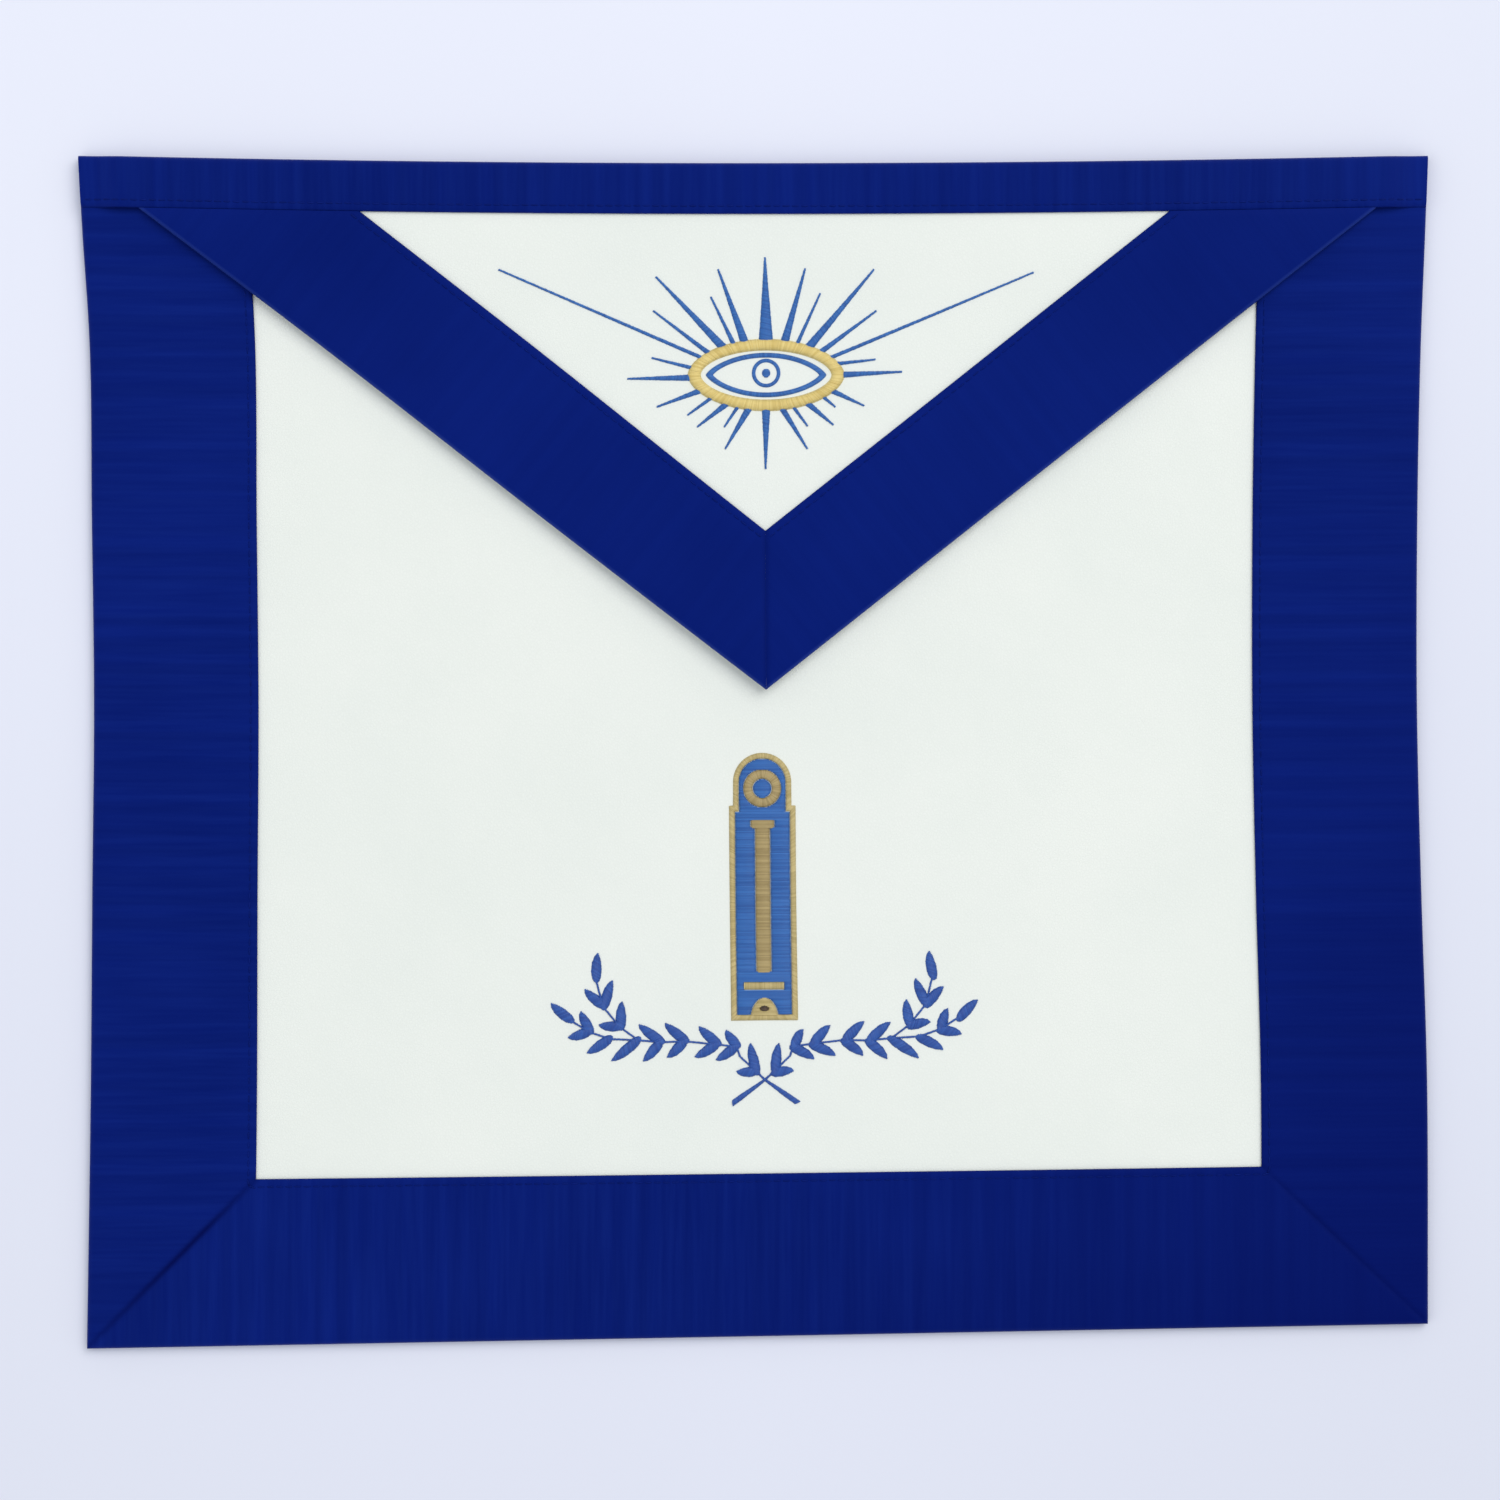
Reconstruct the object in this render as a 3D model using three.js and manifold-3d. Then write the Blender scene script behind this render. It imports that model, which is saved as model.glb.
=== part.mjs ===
import * as THREE from 'three';
import * as BufferGeometryUtils from 'three/addons/utils/BufferGeometryUtils.js';
import Module from 'manifold-3d';

const wasm = await Module();
wasm.setup();

// Driving sizes, in millimetres. The apron lies on its back: +X right, +Y to the waist edge, +Z up.

// Outline
const WIDTH = 406.4;
const HEIGHT = 359;
const SIDE_WAIST = 4.8; // how far the sides draw in between the corners
const WAIST_SAG = 2.4; // how far the waist edge dips in its middle
const HEM_RISE = 7.5; // how much higher the lower right corner sits than the lower left one
const HEM_CURVE = 2.6; // power of the way down at which that rise comes in

// Ribbon
const BORDER = 50.5; // shown on the sides and the lower edge
const BAND = 15.6; // shown on the waist edge
const FLAP_BORDER = 38; // shown on the slanted edges of the flap
const HEM = 10; // turned under at the back
const FOLD = 0.4; // rounding of a folded edge

// Flap
const FLAP_DROP = 159.8; // waist edge to point
const FLAP_LIFT = 1.2; // how far the point stands off the panel more than the rest
const FLAP_SHIFT = 3.3; // how far right of the middle the flap lies
const FLAP_HOLD = 0.65; // share of that shift which the flap's outer corners don't take part in
const FLAP_SPREAD = 3.1; // how much further out both of those corners are, where the ribbon is widest
const BAND_SINK_SHARE = 0.75; // where the band lies down, as a share of the way from the flap to its end
const FLAP_BLUNT = 2; // half width of the flap leather's cut point, hidden by the ribbon

// Thicknesses and the clearance between neighbours
const LEATHER = 1.2;
const RIBBON = 1;
const THREAD = 0.5;
const GAP = 0.3;

// The panel leaves its turned hems and settles on the surface under it
const SETTLE_START = 18; // from the edge
const SETTLE_RUN = 30;
const SETTLE_STEPS = 3;

// Clearances round the eye, which fills the white of the flap
const EYE_TOP_MARGIN = 13.2; // waist band to the highest ray
const EYE_POINT_MARGIN = 19; // lowest ray to the inner point of the flap
const EYE_SIDE_MARGIN = 21; // longest ray to the ribbon beside it

// Clearances round the plumb rule and the sprigs, which fill the space under the flap
const RULE_TOP_MARGIN = 19.2; // point of the flap to the plumb rule
const SPRIG_FOOT_MARGIN = 21.6; // sprigs to the lower border
const RULE_SHIFT = 1.9; // how far right of the middle both are sewn

// Layers, as heights over the underside of the body panel
const TURN_IN = RIBBON + GAP;
const BORDER_UNDER = LEATHER + GAP;
const FLAP_UNDER = BORDER_UNDER + RIBBON + GAP;
const FLAP_RIBBON_UNDER = FLAP_UNDER + LEATHER + GAP;
const FLAP_RIBBON_TOP = FLAP_RIBBON_UNDER + RIBBON;

// How the outline leaves the rectangle, down from the waist edge, as shares of SIDE_WAIST
const SIDE_ROWS = [
  { down: 0, left: 0, right: 0 },
  { down: 0.06, left: 0.25, right: 0.16 },
  { down: 0.16, left: 0.73, right: 0.45 },
  { down: 0.3, left: 0.86, right: 0.66 },
  { down: 0.46, left: 1, right: 0.69 },
  { down: 0.62, left: 0.89, right: 0.42 },
  { down: 0.78, left: 0.8, right: 0.06 },
  { down: 1, left: 0.56, right: 0 },
];

// Rays of the eye: tip across and up as shares of the longest ray's reach, foot in degrees round the rim,
// and width at the foot as a share of the same reach
const RAYS = [
  { across: 1.0, up: 0.377, foot: 32, wide: 0.015 },
  { across: 0.413, up: 0.238, foot: 44, wide: 0.022 },
  { across: 0.405, up: 0.391, foot: 56, wide: 0.034 },
  { across: 0.204, up: 0.303, foot: 66, wide: 0.016 },
  { across: 0.149, up: 0.395, foot: 76, wide: 0.034 },
  { across: 0, up: 0.436, foot: 90, wide: 0.058 },
  { across: -0.175, up: 0.392, foot: 106, wide: 0.034 },
  { across: -0.204, up: 0.29, foot: 115, wide: 0.019 },
  { across: -0.407, up: 0.364, foot: 124, wide: 0.034 },
  { across: -0.42, up: 0.238, foot: 139, wide: 0.02 },
  { across: -0.993, up: 0.388, foot: 148, wide: 0.015 },
  { across: -0.428, up: 0.063, foot: 168, wide: 0.016 },
  { across: -0.52, up: -0.015, foot: 185, wide: 0.026 },
  { across: -0.409, up: -0.119, foot: 209, wide: 0.023 },
  { across: -0.294, up: -0.149, foot: 224, wide: 0.016 },
  { across: -0.257, up: -0.193, foot: 240, wide: 0.026 },
  { across: -0.156, up: -0.193, foot: 249, wide: 0.016 },
  { across: -0.152, up: -0.275, foot: 258, wide: 0.03 },
  { across: 0, up: -0.349, foot: 270, wide: 0.035 },
  { across: 0.156, up: -0.275, foot: 281, wide: 0.026 },
  { across: 0.156, up: -0.19, foot: 290, wide: 0.016 },
  { across: 0.253, up: -0.186, foot: 302, wide: 0.026 },
  { across: 0.26, up: -0.119, foot: 319, wide: 0.016 },
  { across: 0.368, up: -0.115, foot: 331, wide: 0.023 },
  { across: 0.509, up: 0.011, foot: 0, wide: 0.026 },
  { across: 0.409, up: 0.057, foot: 21, wide: 0.016 },
];

// The eye, as shares of the longest ray's reach
const EYE = {
  top: 0.436, // highest ray over the eye's middle
  drop: 0.785, // highest ray to lowest ray
  rimWide: 0.2955,
  rimHigh: 0.1357,
  rimBand: 0.0446,
  lidWide: 0.227,
  lidHigh: 0.0836,
  lidBand: 0.0186,
  iris: 0.054,
  irisBand: 0.014,
  pupil: 0.016,
};

// The plumb rule, as shares of the height from the sprigs' feet to the rule's top
const RULE = {
  headRadius: 0.083,
  halfWide: 0.0945,
  shoulder: 0.85,
  foot: 0.238,
  band: 0.0165,
  ringMiddle: 0.899,
  ringOuter: 0.054,
  ringInner: 0.0275,
  lineTop: 0.81,
  lineFoot: 0.377,
  lineHalfWide: 0.0215,
  capHalfWide: 0.034,
  capHigh: 0.023,
  barMiddle: 0.337,
  barHigh: 0.022,
  barHalfWide: 0.0555,
  archTop: 0.303,
  archHalfWide: 0.04,
  bobMiddle: 0.272,
  bobHalfWide: 0.0142,
  bobHalfHigh: 0.0085,
};

// One sprig, outward from the middle and up from its foot, as shares of the same height
const STEM_WIDE = 0.0085;
const LEAF_WIDE = 0.028;
const STEM = [
  { out: -0.091, up: 0.002 },
  { out: 0, up: 0.068 },
  { out: 0.023, up: 0.09 },
  { out: 0.071, up: 0.136 },
  { out: 0.079, up: 0.163 },
  { out: 0.133, up: 0.17 },
  { out: 0.224, up: 0.18 },
  { out: 0.293, up: 0.178 },
  { out: 0.357, up: 0.184 },
  { out: 0.436, up: 0.188 },
  { out: 0.494, up: 0.208 },
  { out: 0.551, up: 0.243 },
];
const TWIG = [
  { out: 0.357, up: 0.184 },
  { out: 0.408, up: 0.221 },
  { out: 0.456, up: 0.28 },
  { out: 0.477, up: 0.362 },
];
const LEAVES = [
  { out: 0.026, up: 0.09, tipOut: 0.04, tipUp: 0.171 },
  { out: 0.023, up: 0.09, tipOut: 0.079, tipUp: 0.093 },
  { out: 0.079, up: 0.163, tipOut: 0.108, tipUp: 0.21 },
  { out: 0.079, up: 0.163, tipOut: 0.137, tipUp: 0.127 },
  { out: 0.133, up: 0.17, tipOut: 0.184, tipUp: 0.221 },
  { out: 0.133, up: 0.17, tipOut: 0.197, tipUp: 0.136 },
  { out: 0.224, up: 0.18, tipOut: 0.28, tipUp: 0.231 },
  { out: 0.224, up: 0.18, tipOut: 0.275, tipUp: 0.136 },
  { out: 0.293, up: 0.178, tipOut: 0.354, tipUp: 0.228 },
  { out: 0.293, up: 0.178, tipOut: 0.343, tipUp: 0.126 },
  { out: 0.357, up: 0.184, tipOut: 0.432, tipUp: 0.127 },
  { out: 0.408, up: 0.221, tipOut: 0.402, tipUp: 0.293 },
  { out: 0.408, up: 0.221, tipOut: 0.467, tipUp: 0.229 },
  { out: 0.456, up: 0.28, tipOut: 0.429, tipUp: 0.353 },
  { out: 0.456, up: 0.28, tipOut: 0.506, tipUp: 0.329 },
  { out: 0.477, up: 0.358, tipOut: 0.469, tipUp: 0.431 },
  { out: 0.436, up: 0.188, tipOut: 0.501, tipUp: 0.15 },
  { out: 0.494, up: 0.208, tipOut: 0.518, tipUp: 0.266 },
  { out: 0.494, up: 0.208, tipOut: 0.554, tipUp: 0.194 },
  { out: 0.548, up: 0.24, tipOut: 0.602, tipUp: 0.29 },
];

// Places of the flat pattern, before the outline is drawn in
const HALF_WIDTH = WIDTH / 2;
const HALF_HEIGHT = HEIGHT / 2;
const BAND_EDGE = HALF_HEIGHT - BAND; // lower edge of the waist band
const FLAP_POINT = HALF_HEIGHT - FLAP_DROP;
const FLAP_SLOPE = Math.atan2(FLAP_DROP, HALF_WIDTH);
const FLAP_INNER_POINT = FLAP_POINT + FLAP_BORDER / Math.cos(FLAP_SLOPE);
const FLAP_CORNER = (BAND_EDGE - FLAP_POINT) / Math.tan(FLAP_SLOPE); // where the flap goes under the band
const BAND_HIGH = FLAP_CORNER + FLAP_SHIFT + FLAP_SPREAD; // the band lies over the flap as far as here
const BAND_SUNK = THREE.MathUtils.lerp(BAND_HIGH, HALF_WIDTH, BAND_SINK_SHARE);

// Outline

const downs = SIDE_ROWS.map((row) => row.down);
const leftSide = new THREE.CubicInterpolant(downs, SIDE_ROWS.map((row) => row.left), 1);
const rightSide = new THREE.CubicInterpolant(downs, SIDE_ROWS.map((row) => row.right), 1);

/** Height of the body panel's underside over the surface it lies on, at a place of the flat pattern. */
function settle(u, v) {
  const fromEdge = Math.min(HALF_WIDTH - Math.abs(u), HALF_HEIGHT - Math.abs(v));
  return TURN_IN * (1 - THREE.MathUtils.smoothstep(fromEdge, SETTLE_START, SETTLE_START + SETTLE_RUN));
}

/** How much more the flap stands off towards its point. */
function flapRise({ v }) {
  const down = THREE.MathUtils.clamp((HALF_HEIGHT - v) / FLAP_DROP, 0, 1);
  return FLAP_LIFT * down * down;
}

/** How far the waist band comes down past the flap's corners, where only the panel is left under it. */
function bandSink({ u }) {
  const share = THREE.MathUtils.smoothstep(Math.abs(u), BAND_HIGH, BAND_SUNK);
  return (BORDER_UNDER - FLAP_RIBBON_UNDER) * share;
}

/** Where the flap lies across, over the middle of the panel or beside it. */
function flapAcross(u, v) {
  const inward = (v - FLAP_POINT) * Math.cos(FLAP_SLOPE) - Math.abs(u) * Math.sin(FLAP_SLOPE);
  const outer = THREE.MathUtils.clamp(1 - inward / FLAP_BORDER, 0, 1);
  const up = THREE.MathUtils.clamp((v - FLAP_POINT) / (BAND_EDGE - FLAP_POINT), 0, 1);
  return u + FLAP_SHIFT * (1 - FLAP_HOLD * outer * up) + FLAP_SPREAD * outer * (u / FLAP_CORNER);
}

/** A point of the flat pattern, drawn in to the apron's real outline. */
function drawIn(u, v, z) {
  const right = THREE.MathUtils.clamp(u / WIDTH + 0.5, 0, 1);
  const down = THREE.MathUtils.clamp(0.5 - v / HEIGHT, 0, 1);
  const fromLeft = leftSide.evaluate(down)[0] * (1 - right);
  const fromRight = rightSide.evaluate(down)[0] * right;
  const sag = WAIST_SAG * 4 * right * (1 - right) * (1 - down);
  const rise = HEM_RISE * right * down ** HEM_CURVE;
  return new THREE.Vector3(u + SIDE_WAIST * (fromLeft - fromRight), v - sag + rise, z);
}

// Solids

/** A closed geometry of points and triangles, with its faces pointing out. */
function solid(points, triangles) {
  let volume = 0;
  for (const [a, b, c] of triangles) {
    volume += points[a].dot(points[b].clone().cross(points[c]));
  }
  const faces = volume < 0 ? triangles.map(([a, b, c]) => [a, c, b]) : triangles;
  const geometry = new THREE.BufferGeometry().setFromPoints(points);
  geometry.setIndex(faces.flat());
  geometry.computeVertexNormals();
  return geometry;
}

/** Skins a row of sections of equal length and closes both ends with the flat cap's triangles. */
function loft(sections, cap) {
  const ring = sections[0].length;
  const triangles = [];
  for (let i = 0; i + 1 < sections.length; i += 1) {
    for (let j = 0; j < ring; j += 1) {
      const a = i * ring + j;
      const b = i * ring + ((j + 1) % ring);
      triangles.push([a, b, b + ring], [a, b + ring, a + ring]);
    }
  }
  const last = (sections.length - 1) * ring;
  for (const [a, b, c] of cap) {
    triangles.push([c, b, a], [last + a, last + b, last + c]);
  }
  return solid(sections.flat(), triangles);
}

/**
 * A length of ribbon. Its profile holds points { in, z, rides }: in from the outer edge, z the height, over
 * the body panel where it rides and over the surface below where it doesn't. place(along, inward) gives the
 * place in the pattern, start and end where the ribbon begins and ends at an inward distance, and shares the
 * sections.
 */
function ribbon({ profile, place, start, end, shares, rise = () => 0 }) {
  const sections = shares.map((share) => profile.map((point) => {
    const along = THREE.MathUtils.lerp(start(point.in), end(point.in), share);
    const [u, v] = place(along, point.in);
    const lift = point.rides ? settle(u, v) + rise({ u, v }) : 0;
    return drawIn(u, v, point.z + lift);
  }));
  const flat = profile.map((point) => new THREE.Vector2(point.in, point.z + (point.rides ? TURN_IN : 0)));
  return loft(sections, THREE.ShapeUtils.triangulateShape(flat, []));
}

/** A sheet of leather over rows of the pattern: each row has its height v and the places u of its points. */
function sheet(rows, under, rise = () => 0) {
  const columns = rows[0].us.length;
  const top = [];
  const bottom = [];
  for (const { v, us } of rows) {
    for (const u of us) {
      const z = under + settle(u, v) + rise({ u, v });
      bottom.push(drawIn(u, v, z));
      top.push(drawIn(u, v, z + LEATHER));
    }
  }
  const lift = bottom.length;
  const triangles = [];
  const quad = (a, b, c, d) => triangles.push([a, b, c], [a, c, d]);
  for (let i = 0; i + 1 < rows.length; i += 1) {
    for (let j = 0; j + 1 < columns; j += 1) {
      const a = i * columns + j;
      const b = a + 1;
      const c = b + columns;
      const d = a + columns;
      // The crease runs out to the corner, so the diagonal turns with the quarter of the sheet
      const outward = (rows[i].v + rows[i + 1].v) * (rows[i].us[j] + rows[i].us[j + 1]) < 0;
      const corners = outward ? [a, b, c, d] : [b, c, d, a];
      quad(...corners.map((corner) => corner + lift).reverse());
      quad(...corners);
    }
  }
  const rim = [];
  for (let j = 0; j < columns; j += 1) rim.push(j);
  for (let i = 1; i < rows.length; i += 1) rim.push(i * columns + columns - 1);
  for (let j = columns - 2; j >= 0; j -= 1) rim.push((rows.length - 1) * columns + j);
  for (let i = rows.length - 2; i > 0; i -= 1) rim.push(i * columns);
  rim.forEach((a, k) => {
    const b = rim[(k + 1) % rim.length];
    quad(a, a + lift, b + lift, b);
  });
  return solid([...bottom, ...top], triangles);
}

/** Where the panel's height changes, as distances from an edge, and every distance across a full size. */
const settleStations = Array.from({ length: SETTLE_STEPS + 1 }, (_, k) => (
  SETTLE_START + (SETTLE_RUN * k) / SETTLE_STEPS));
function stationsAcross(size, steps) {
  const inner = settleStations.at(-1);
  const middle = Array.from({ length: steps - 1 }, (_, k) => (
    THREE.MathUtils.lerp(inner, size - inner, (k + 1) / steps)));
  return [...settleStations, ...middle, ...settleStations.map((station) => size - station).reverse()];
}
const SIDE_STEPS = 11;
const EDGE_STEPS = 10;
const sideStations = stationsAcross(HEIGHT, SIDE_STEPS);
const edgeStations = stationsAcross(WIDTH, EDGE_STEPS);

// Leather

function bodyPanel() {
  const us = [TURN_IN, ...edgeStations, WIDTH - TURN_IN].map((station) => station - HALF_WIDTH);
  const downs = [TURN_IN, BAND + GAP, ...sideStations, HEIGHT - TURN_IN];
  return sheet(downs.map((down) => ({ v: HALF_HEIGHT - down, us })), 0);
}

function flapPanel() {
  const columns = 10;
  const steps = 8;
  const inset = TURN_IN / Math.sin(FLAP_SLOPE);
  const halfWide = (v) => (Math.min(v, BAND_EDGE - GAP) - FLAP_POINT) / Math.tan(FLAP_SLOPE) - inset;
  const point = FLAP_POINT + (FLAP_BLUNT + inset) * Math.tan(FLAP_SLOPE);
  const settled = HALF_HEIGHT - settleStations.at(-1);
  const settling = settleStations.map((station) => HALF_HEIGHT - station);
  const vs = [HALF_HEIGHT - TURN_IN, BAND_EDGE - GAP, ...settling];
  for (let k = 1; k <= steps; k += 1) vs.push(THREE.MathUtils.lerp(settled, point, k / steps));
  return sheet(vs.map((v) => ({
    v,
    us: Array.from({ length: columns + 1 }, (_, j) => flapAcross(halfWide(v) * ((2 * j) / columns - 1), v)),
  })), FLAP_UNDER, flapRise);
}

// Ribbons

/** Front leaf, folded edge and narrow hem behind, with the panel's cut edge inside. */
function borderProfile() {
  const across = [RIBBON, HEM, ...settleStations.filter((station) => station < BORDER - 1), BORDER];
  const top = BORDER_UNDER + RIBBON;
  return [
    ...across.slice(1).reverse().map((inward) => ({ in: inward, z: top, rides: true })),
    { in: FOLD, z: top, rides: true },
    { in: 0, z: top - FOLD, rides: true },
    { in: 0, z: FOLD, rides: false },
    { in: FOLD, z: 0, rides: false },
    { in: HEM, z: 0, rides: false },
    { in: HEM, z: RIBBON, rides: false },
    { in: RIBBON, z: RIBBON, rides: false },
    ...across.map((inward) => ({ in: inward, z: BORDER_UNDER, rides: true })),
  ];
}

const MITRE_GAP = GAP / Math.SQRT2;

/** The side ribbon runs from under the waist band to the mitre of the lower corner. */
function borderSide(side) {
  const first = BAND + GAP;
  const last = HEIGHT - MITRE_GAP;
  const along = [first, ...sideStations, last];
  return ribbon({
    profile: borderProfile(),
    place: (s, inward) => [side * (HALF_WIDTH - inward), HALF_HEIGHT - s],
    start: () => first,
    end: (inward) => last - inward,
    shares: along.map((s) => (s - first) / (last - first)),
  });
}

function borderBottom() {
  const along = [MITRE_GAP, ...edgeStations, WIDTH - MITRE_GAP];
  return ribbon({
    profile: borderProfile(),
    place: (s, inward) => [s - HALF_WIDTH, inward - HALF_HEIGHT],
    start: (inward) => MITRE_GAP + inward,
    end: (inward) => WIDTH - MITRE_GAP - inward,
    shares: along.map((s) => (s - along[0]) / (along.at(-1) - along[0])),
  });
}

/** Front leaf and turned-down edge of the flap's ribbon, from the mitre at the point up to the waist band. */
function flapBorder(side) {
  const sin = Math.sin(FLAP_SLOPE);
  const cos = Math.cos(FLAP_SLOPE);
  const across = Array.from({ length: 4 }, (_, k) => THREE.MathUtils.lerp(RIBBON, FLAP_BORDER, k / 3));
  const end = (inward) => (BAND_EDGE - GAP - FLAP_POINT - inward * cos) / sin;
  const start = (inward) => (inward * sin + GAP / 2) / cos;
  const settled = settleStations.map((station) => (HALF_HEIGHT - station - FLAP_POINT) / sin).reverse();
  const steps = 8;
  const lower = Array.from({ length: steps }, (_, k) => (
    THREE.MathUtils.lerp(start(0), settled[0], k / steps)));
  return ribbon({
    profile: [
      ...across.slice(1).reverse().map((inward) => ({ in: inward, z: FLAP_RIBBON_TOP, rides: true })),
      { in: FOLD, z: FLAP_RIBBON_TOP, rides: true },
      { in: 0, z: FLAP_RIBBON_TOP - FOLD, rides: true },
      { in: 0, z: FLAP_UNDER, rides: true },
      { in: RIBBON, z: FLAP_UNDER, rides: true },
      ...across.map((inward) => ({ in: inward, z: FLAP_RIBBON_UNDER, rides: true })),
    ],
    place: (s, inward) => {
      const v = FLAP_POINT + s * sin + inward * cos;
      return [flapAcross(side * (s * cos - inward * sin), v), v];
    },
    start,
    end,
    shares: [...lower, ...settled, end(0)].map((s) => (s - start(0)) / (end(0) - start(0))),
    rise: flapRise,
  });
}

/** The waist band folds over the top edge and holds panel and flap between its two leaves. */
function waistBand() {
  const front = (inward, z) => ({ in: inward, z, rides: true });
  const back = (inward, z) => ({ in: inward, z, rides: false });
  const sinking = Array.from({ length: SETTLE_STEPS + 1 }, (_, k) => (
    HALF_WIDTH - THREE.MathUtils.lerp(BAND_SUNK, BAND_HIGH, k / SETTLE_STEPS)));
  const end = [0, ...sinking];
  const middle = edgeStations.filter((s) => Math.min(s, WIDTH - s) > sinking.at(-1));
  const along = [...end, ...middle, ...end.map((s) => WIDTH - s).reverse()];
  return ribbon({
    profile: [
      front(BAND, FLAP_RIBBON_TOP),
      front(FOLD, FLAP_RIBBON_TOP),
      front(0, FLAP_RIBBON_TOP - FOLD),
      back(0, FOLD),
      back(FOLD, 0),
      back(BAND, 0),
      back(BAND, RIBBON),
      back(RIBBON, RIBBON),
      front(RIBBON, FLAP_RIBBON_UNDER),
      front(BAND, FLAP_RIBBON_UNDER),
    ],
    place: (s, inward) => [s - HALF_WIDTH, HALF_HEIGHT - inward],
    start: () => 0,
    end: () => WIDTH,
    shares: along.map((s) => s / WIDTH),
    rise: bandSink,
  });
}

// Embroidery

function manifold(geometry) {
  geometry.deleteAttribute('normal');
  geometry.deleteAttribute('uv');
  const merged = BufferGeometryUtils.mergeVertices(geometry);
  return new wasm.Manifold(new wasm.Mesh({
    numProp: 3,
    vertProperties: new Float32Array(merged.attributes.position.array),
    triVerts: new Uint32Array(merged.index.array),
  }));
}

/** Flat shapes of the pattern as one body of thread, at a height over the body panel's underside. */
function embroider(shapes, under, rise = () => 0) {
  const bodies = shapes.map((shape) => manifold(new THREE.ExtrudeGeometry(shape, {
    depth: THREAD,
    bevelEnabled: false,
    curveSegments: 12,
  })));
  const { vertProperties, triVerts } = bodies.reduce((all, body) => all.add(body)).getMesh();
  const points = [];
  for (let i = 0; i < vertProperties.length; i += 3) {
    const [u, v, z] = vertProperties.slice(i, i + 3);
    points.push(drawIn(u, v, under + z + settle(u, v) + rise({ u, v })));
  }
  const triangles = [];
  for (let i = 0; i < triVerts.length; i += 3) triangles.push(Array.from(triVerts.slice(i, i + 3)));
  return solid(points, triangles);
}

/** An oval with more or less pointed ends: sharp 1 is an ellipse, 2 a pointed lens. */
function oval(middle, halfWide, halfHigh, sharp = 1, steps = 36) {
  return Array.from({ length: steps }, (_, k) => {
    const turn = (2 * Math.PI * k) / steps;
    const high = Math.sign(Math.sin(turn)) * Math.abs(Math.sin(turn)) ** sharp;
    return new THREE.Vector2(middle.x + halfWide * Math.cos(turn), middle.y + halfHigh * high);
  });
}

function ovalRing(middle, halfWide, halfHigh, band, sharp, steps) {
  const shape = new THREE.Shape(oval(middle, halfWide, halfHigh, sharp, steps));
  const innerWide = halfWide - band * sharp;
  shape.holes.push(new THREE.Path(oval(middle, innerWide, halfHigh - band, sharp, steps)));
  return shape;
}

/** A strip of even width along a line of points. */
function strip(line, wide) {
  const left = [];
  const right = [];
  line.forEach((point, i) => {
    const before = line[Math.max(i - 1, 0)];
    const after = line[Math.min(i + 1, line.length - 1)];
    const side = after.clone().sub(before).normalize().multiplyScalar(wide / 2);
    left.push(new THREE.Vector2(point.x - side.y, point.y + side.x));
    right.unshift(new THREE.Vector2(point.x + side.y, point.y - side.x));
  });
  return new THREE.Shape([...left, ...right]);
}

/** A tapered stitch from a foot to a narrow tip. */
function spike(foot, tip, wide, tipWide) {
  const side = tip.clone().sub(foot).normalize();
  const across = new THREE.Vector2(-side.y, side.x);
  const at = (point, reach) => point.clone().addScaledVector(across, reach / 2);
  return new THREE.Shape([at(foot, wide), at(foot, -wide), at(tip, -tipWide), at(tip, tipWide)]);
}

/** A leaf from its foot to its tip, widest past the middle. */
function leaf(foot, tip, wide) {
  const along = tip.clone().sub(foot);
  const across = new THREE.Vector2(-along.y, along.x).normalize();
  const outline = [
    { share: -0.08, half: 0.12 },
    { share: 0.2, half: 0.36 },
    { share: 0.55, half: 0.5 },
    { share: 0.85, half: 0.34 },
    { share: 1, half: 0.06 },
  ];
  const at = ({ share, half }, sign) => (
    foot.clone().addScaledVector(along, share).addScaledVector(across, sign * half * wide));
  return new THREE.Shape([
    ...outline.map((row) => at(row, 1)),
    ...outline.map((row) => at(row, -1)).reverse(),
  ]);
}

const RIM_SHARP = 1.12;
const LID_SHARP = 1.5;
const RAY_TIP = 0.3;

/** The eye takes the size that keeps its clearances in the white of the flap, hung from the upper one. */
function eyePlace() {
  const whiteHalfWide = (v) => (v - FLAP_INNER_POINT) / Math.tan(FLAP_SLOPE);
  const byDrop = (BAND_EDGE - EYE_TOP_MARGIN - FLAP_INNER_POINT - EYE_POINT_MARGIN) / EYE.drop;
  const byWidth = whiteHalfWide(BAND_EDGE - EYE_TOP_MARGIN) - EYE_SIDE_MARGIN;
  const reach = Math.min(byDrop, byWidth);
  return { reach, middle: new THREE.Vector2(FLAP_SHIFT, BAND_EDGE - EYE_TOP_MARGIN - EYE.top * reach) };
}

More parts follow.
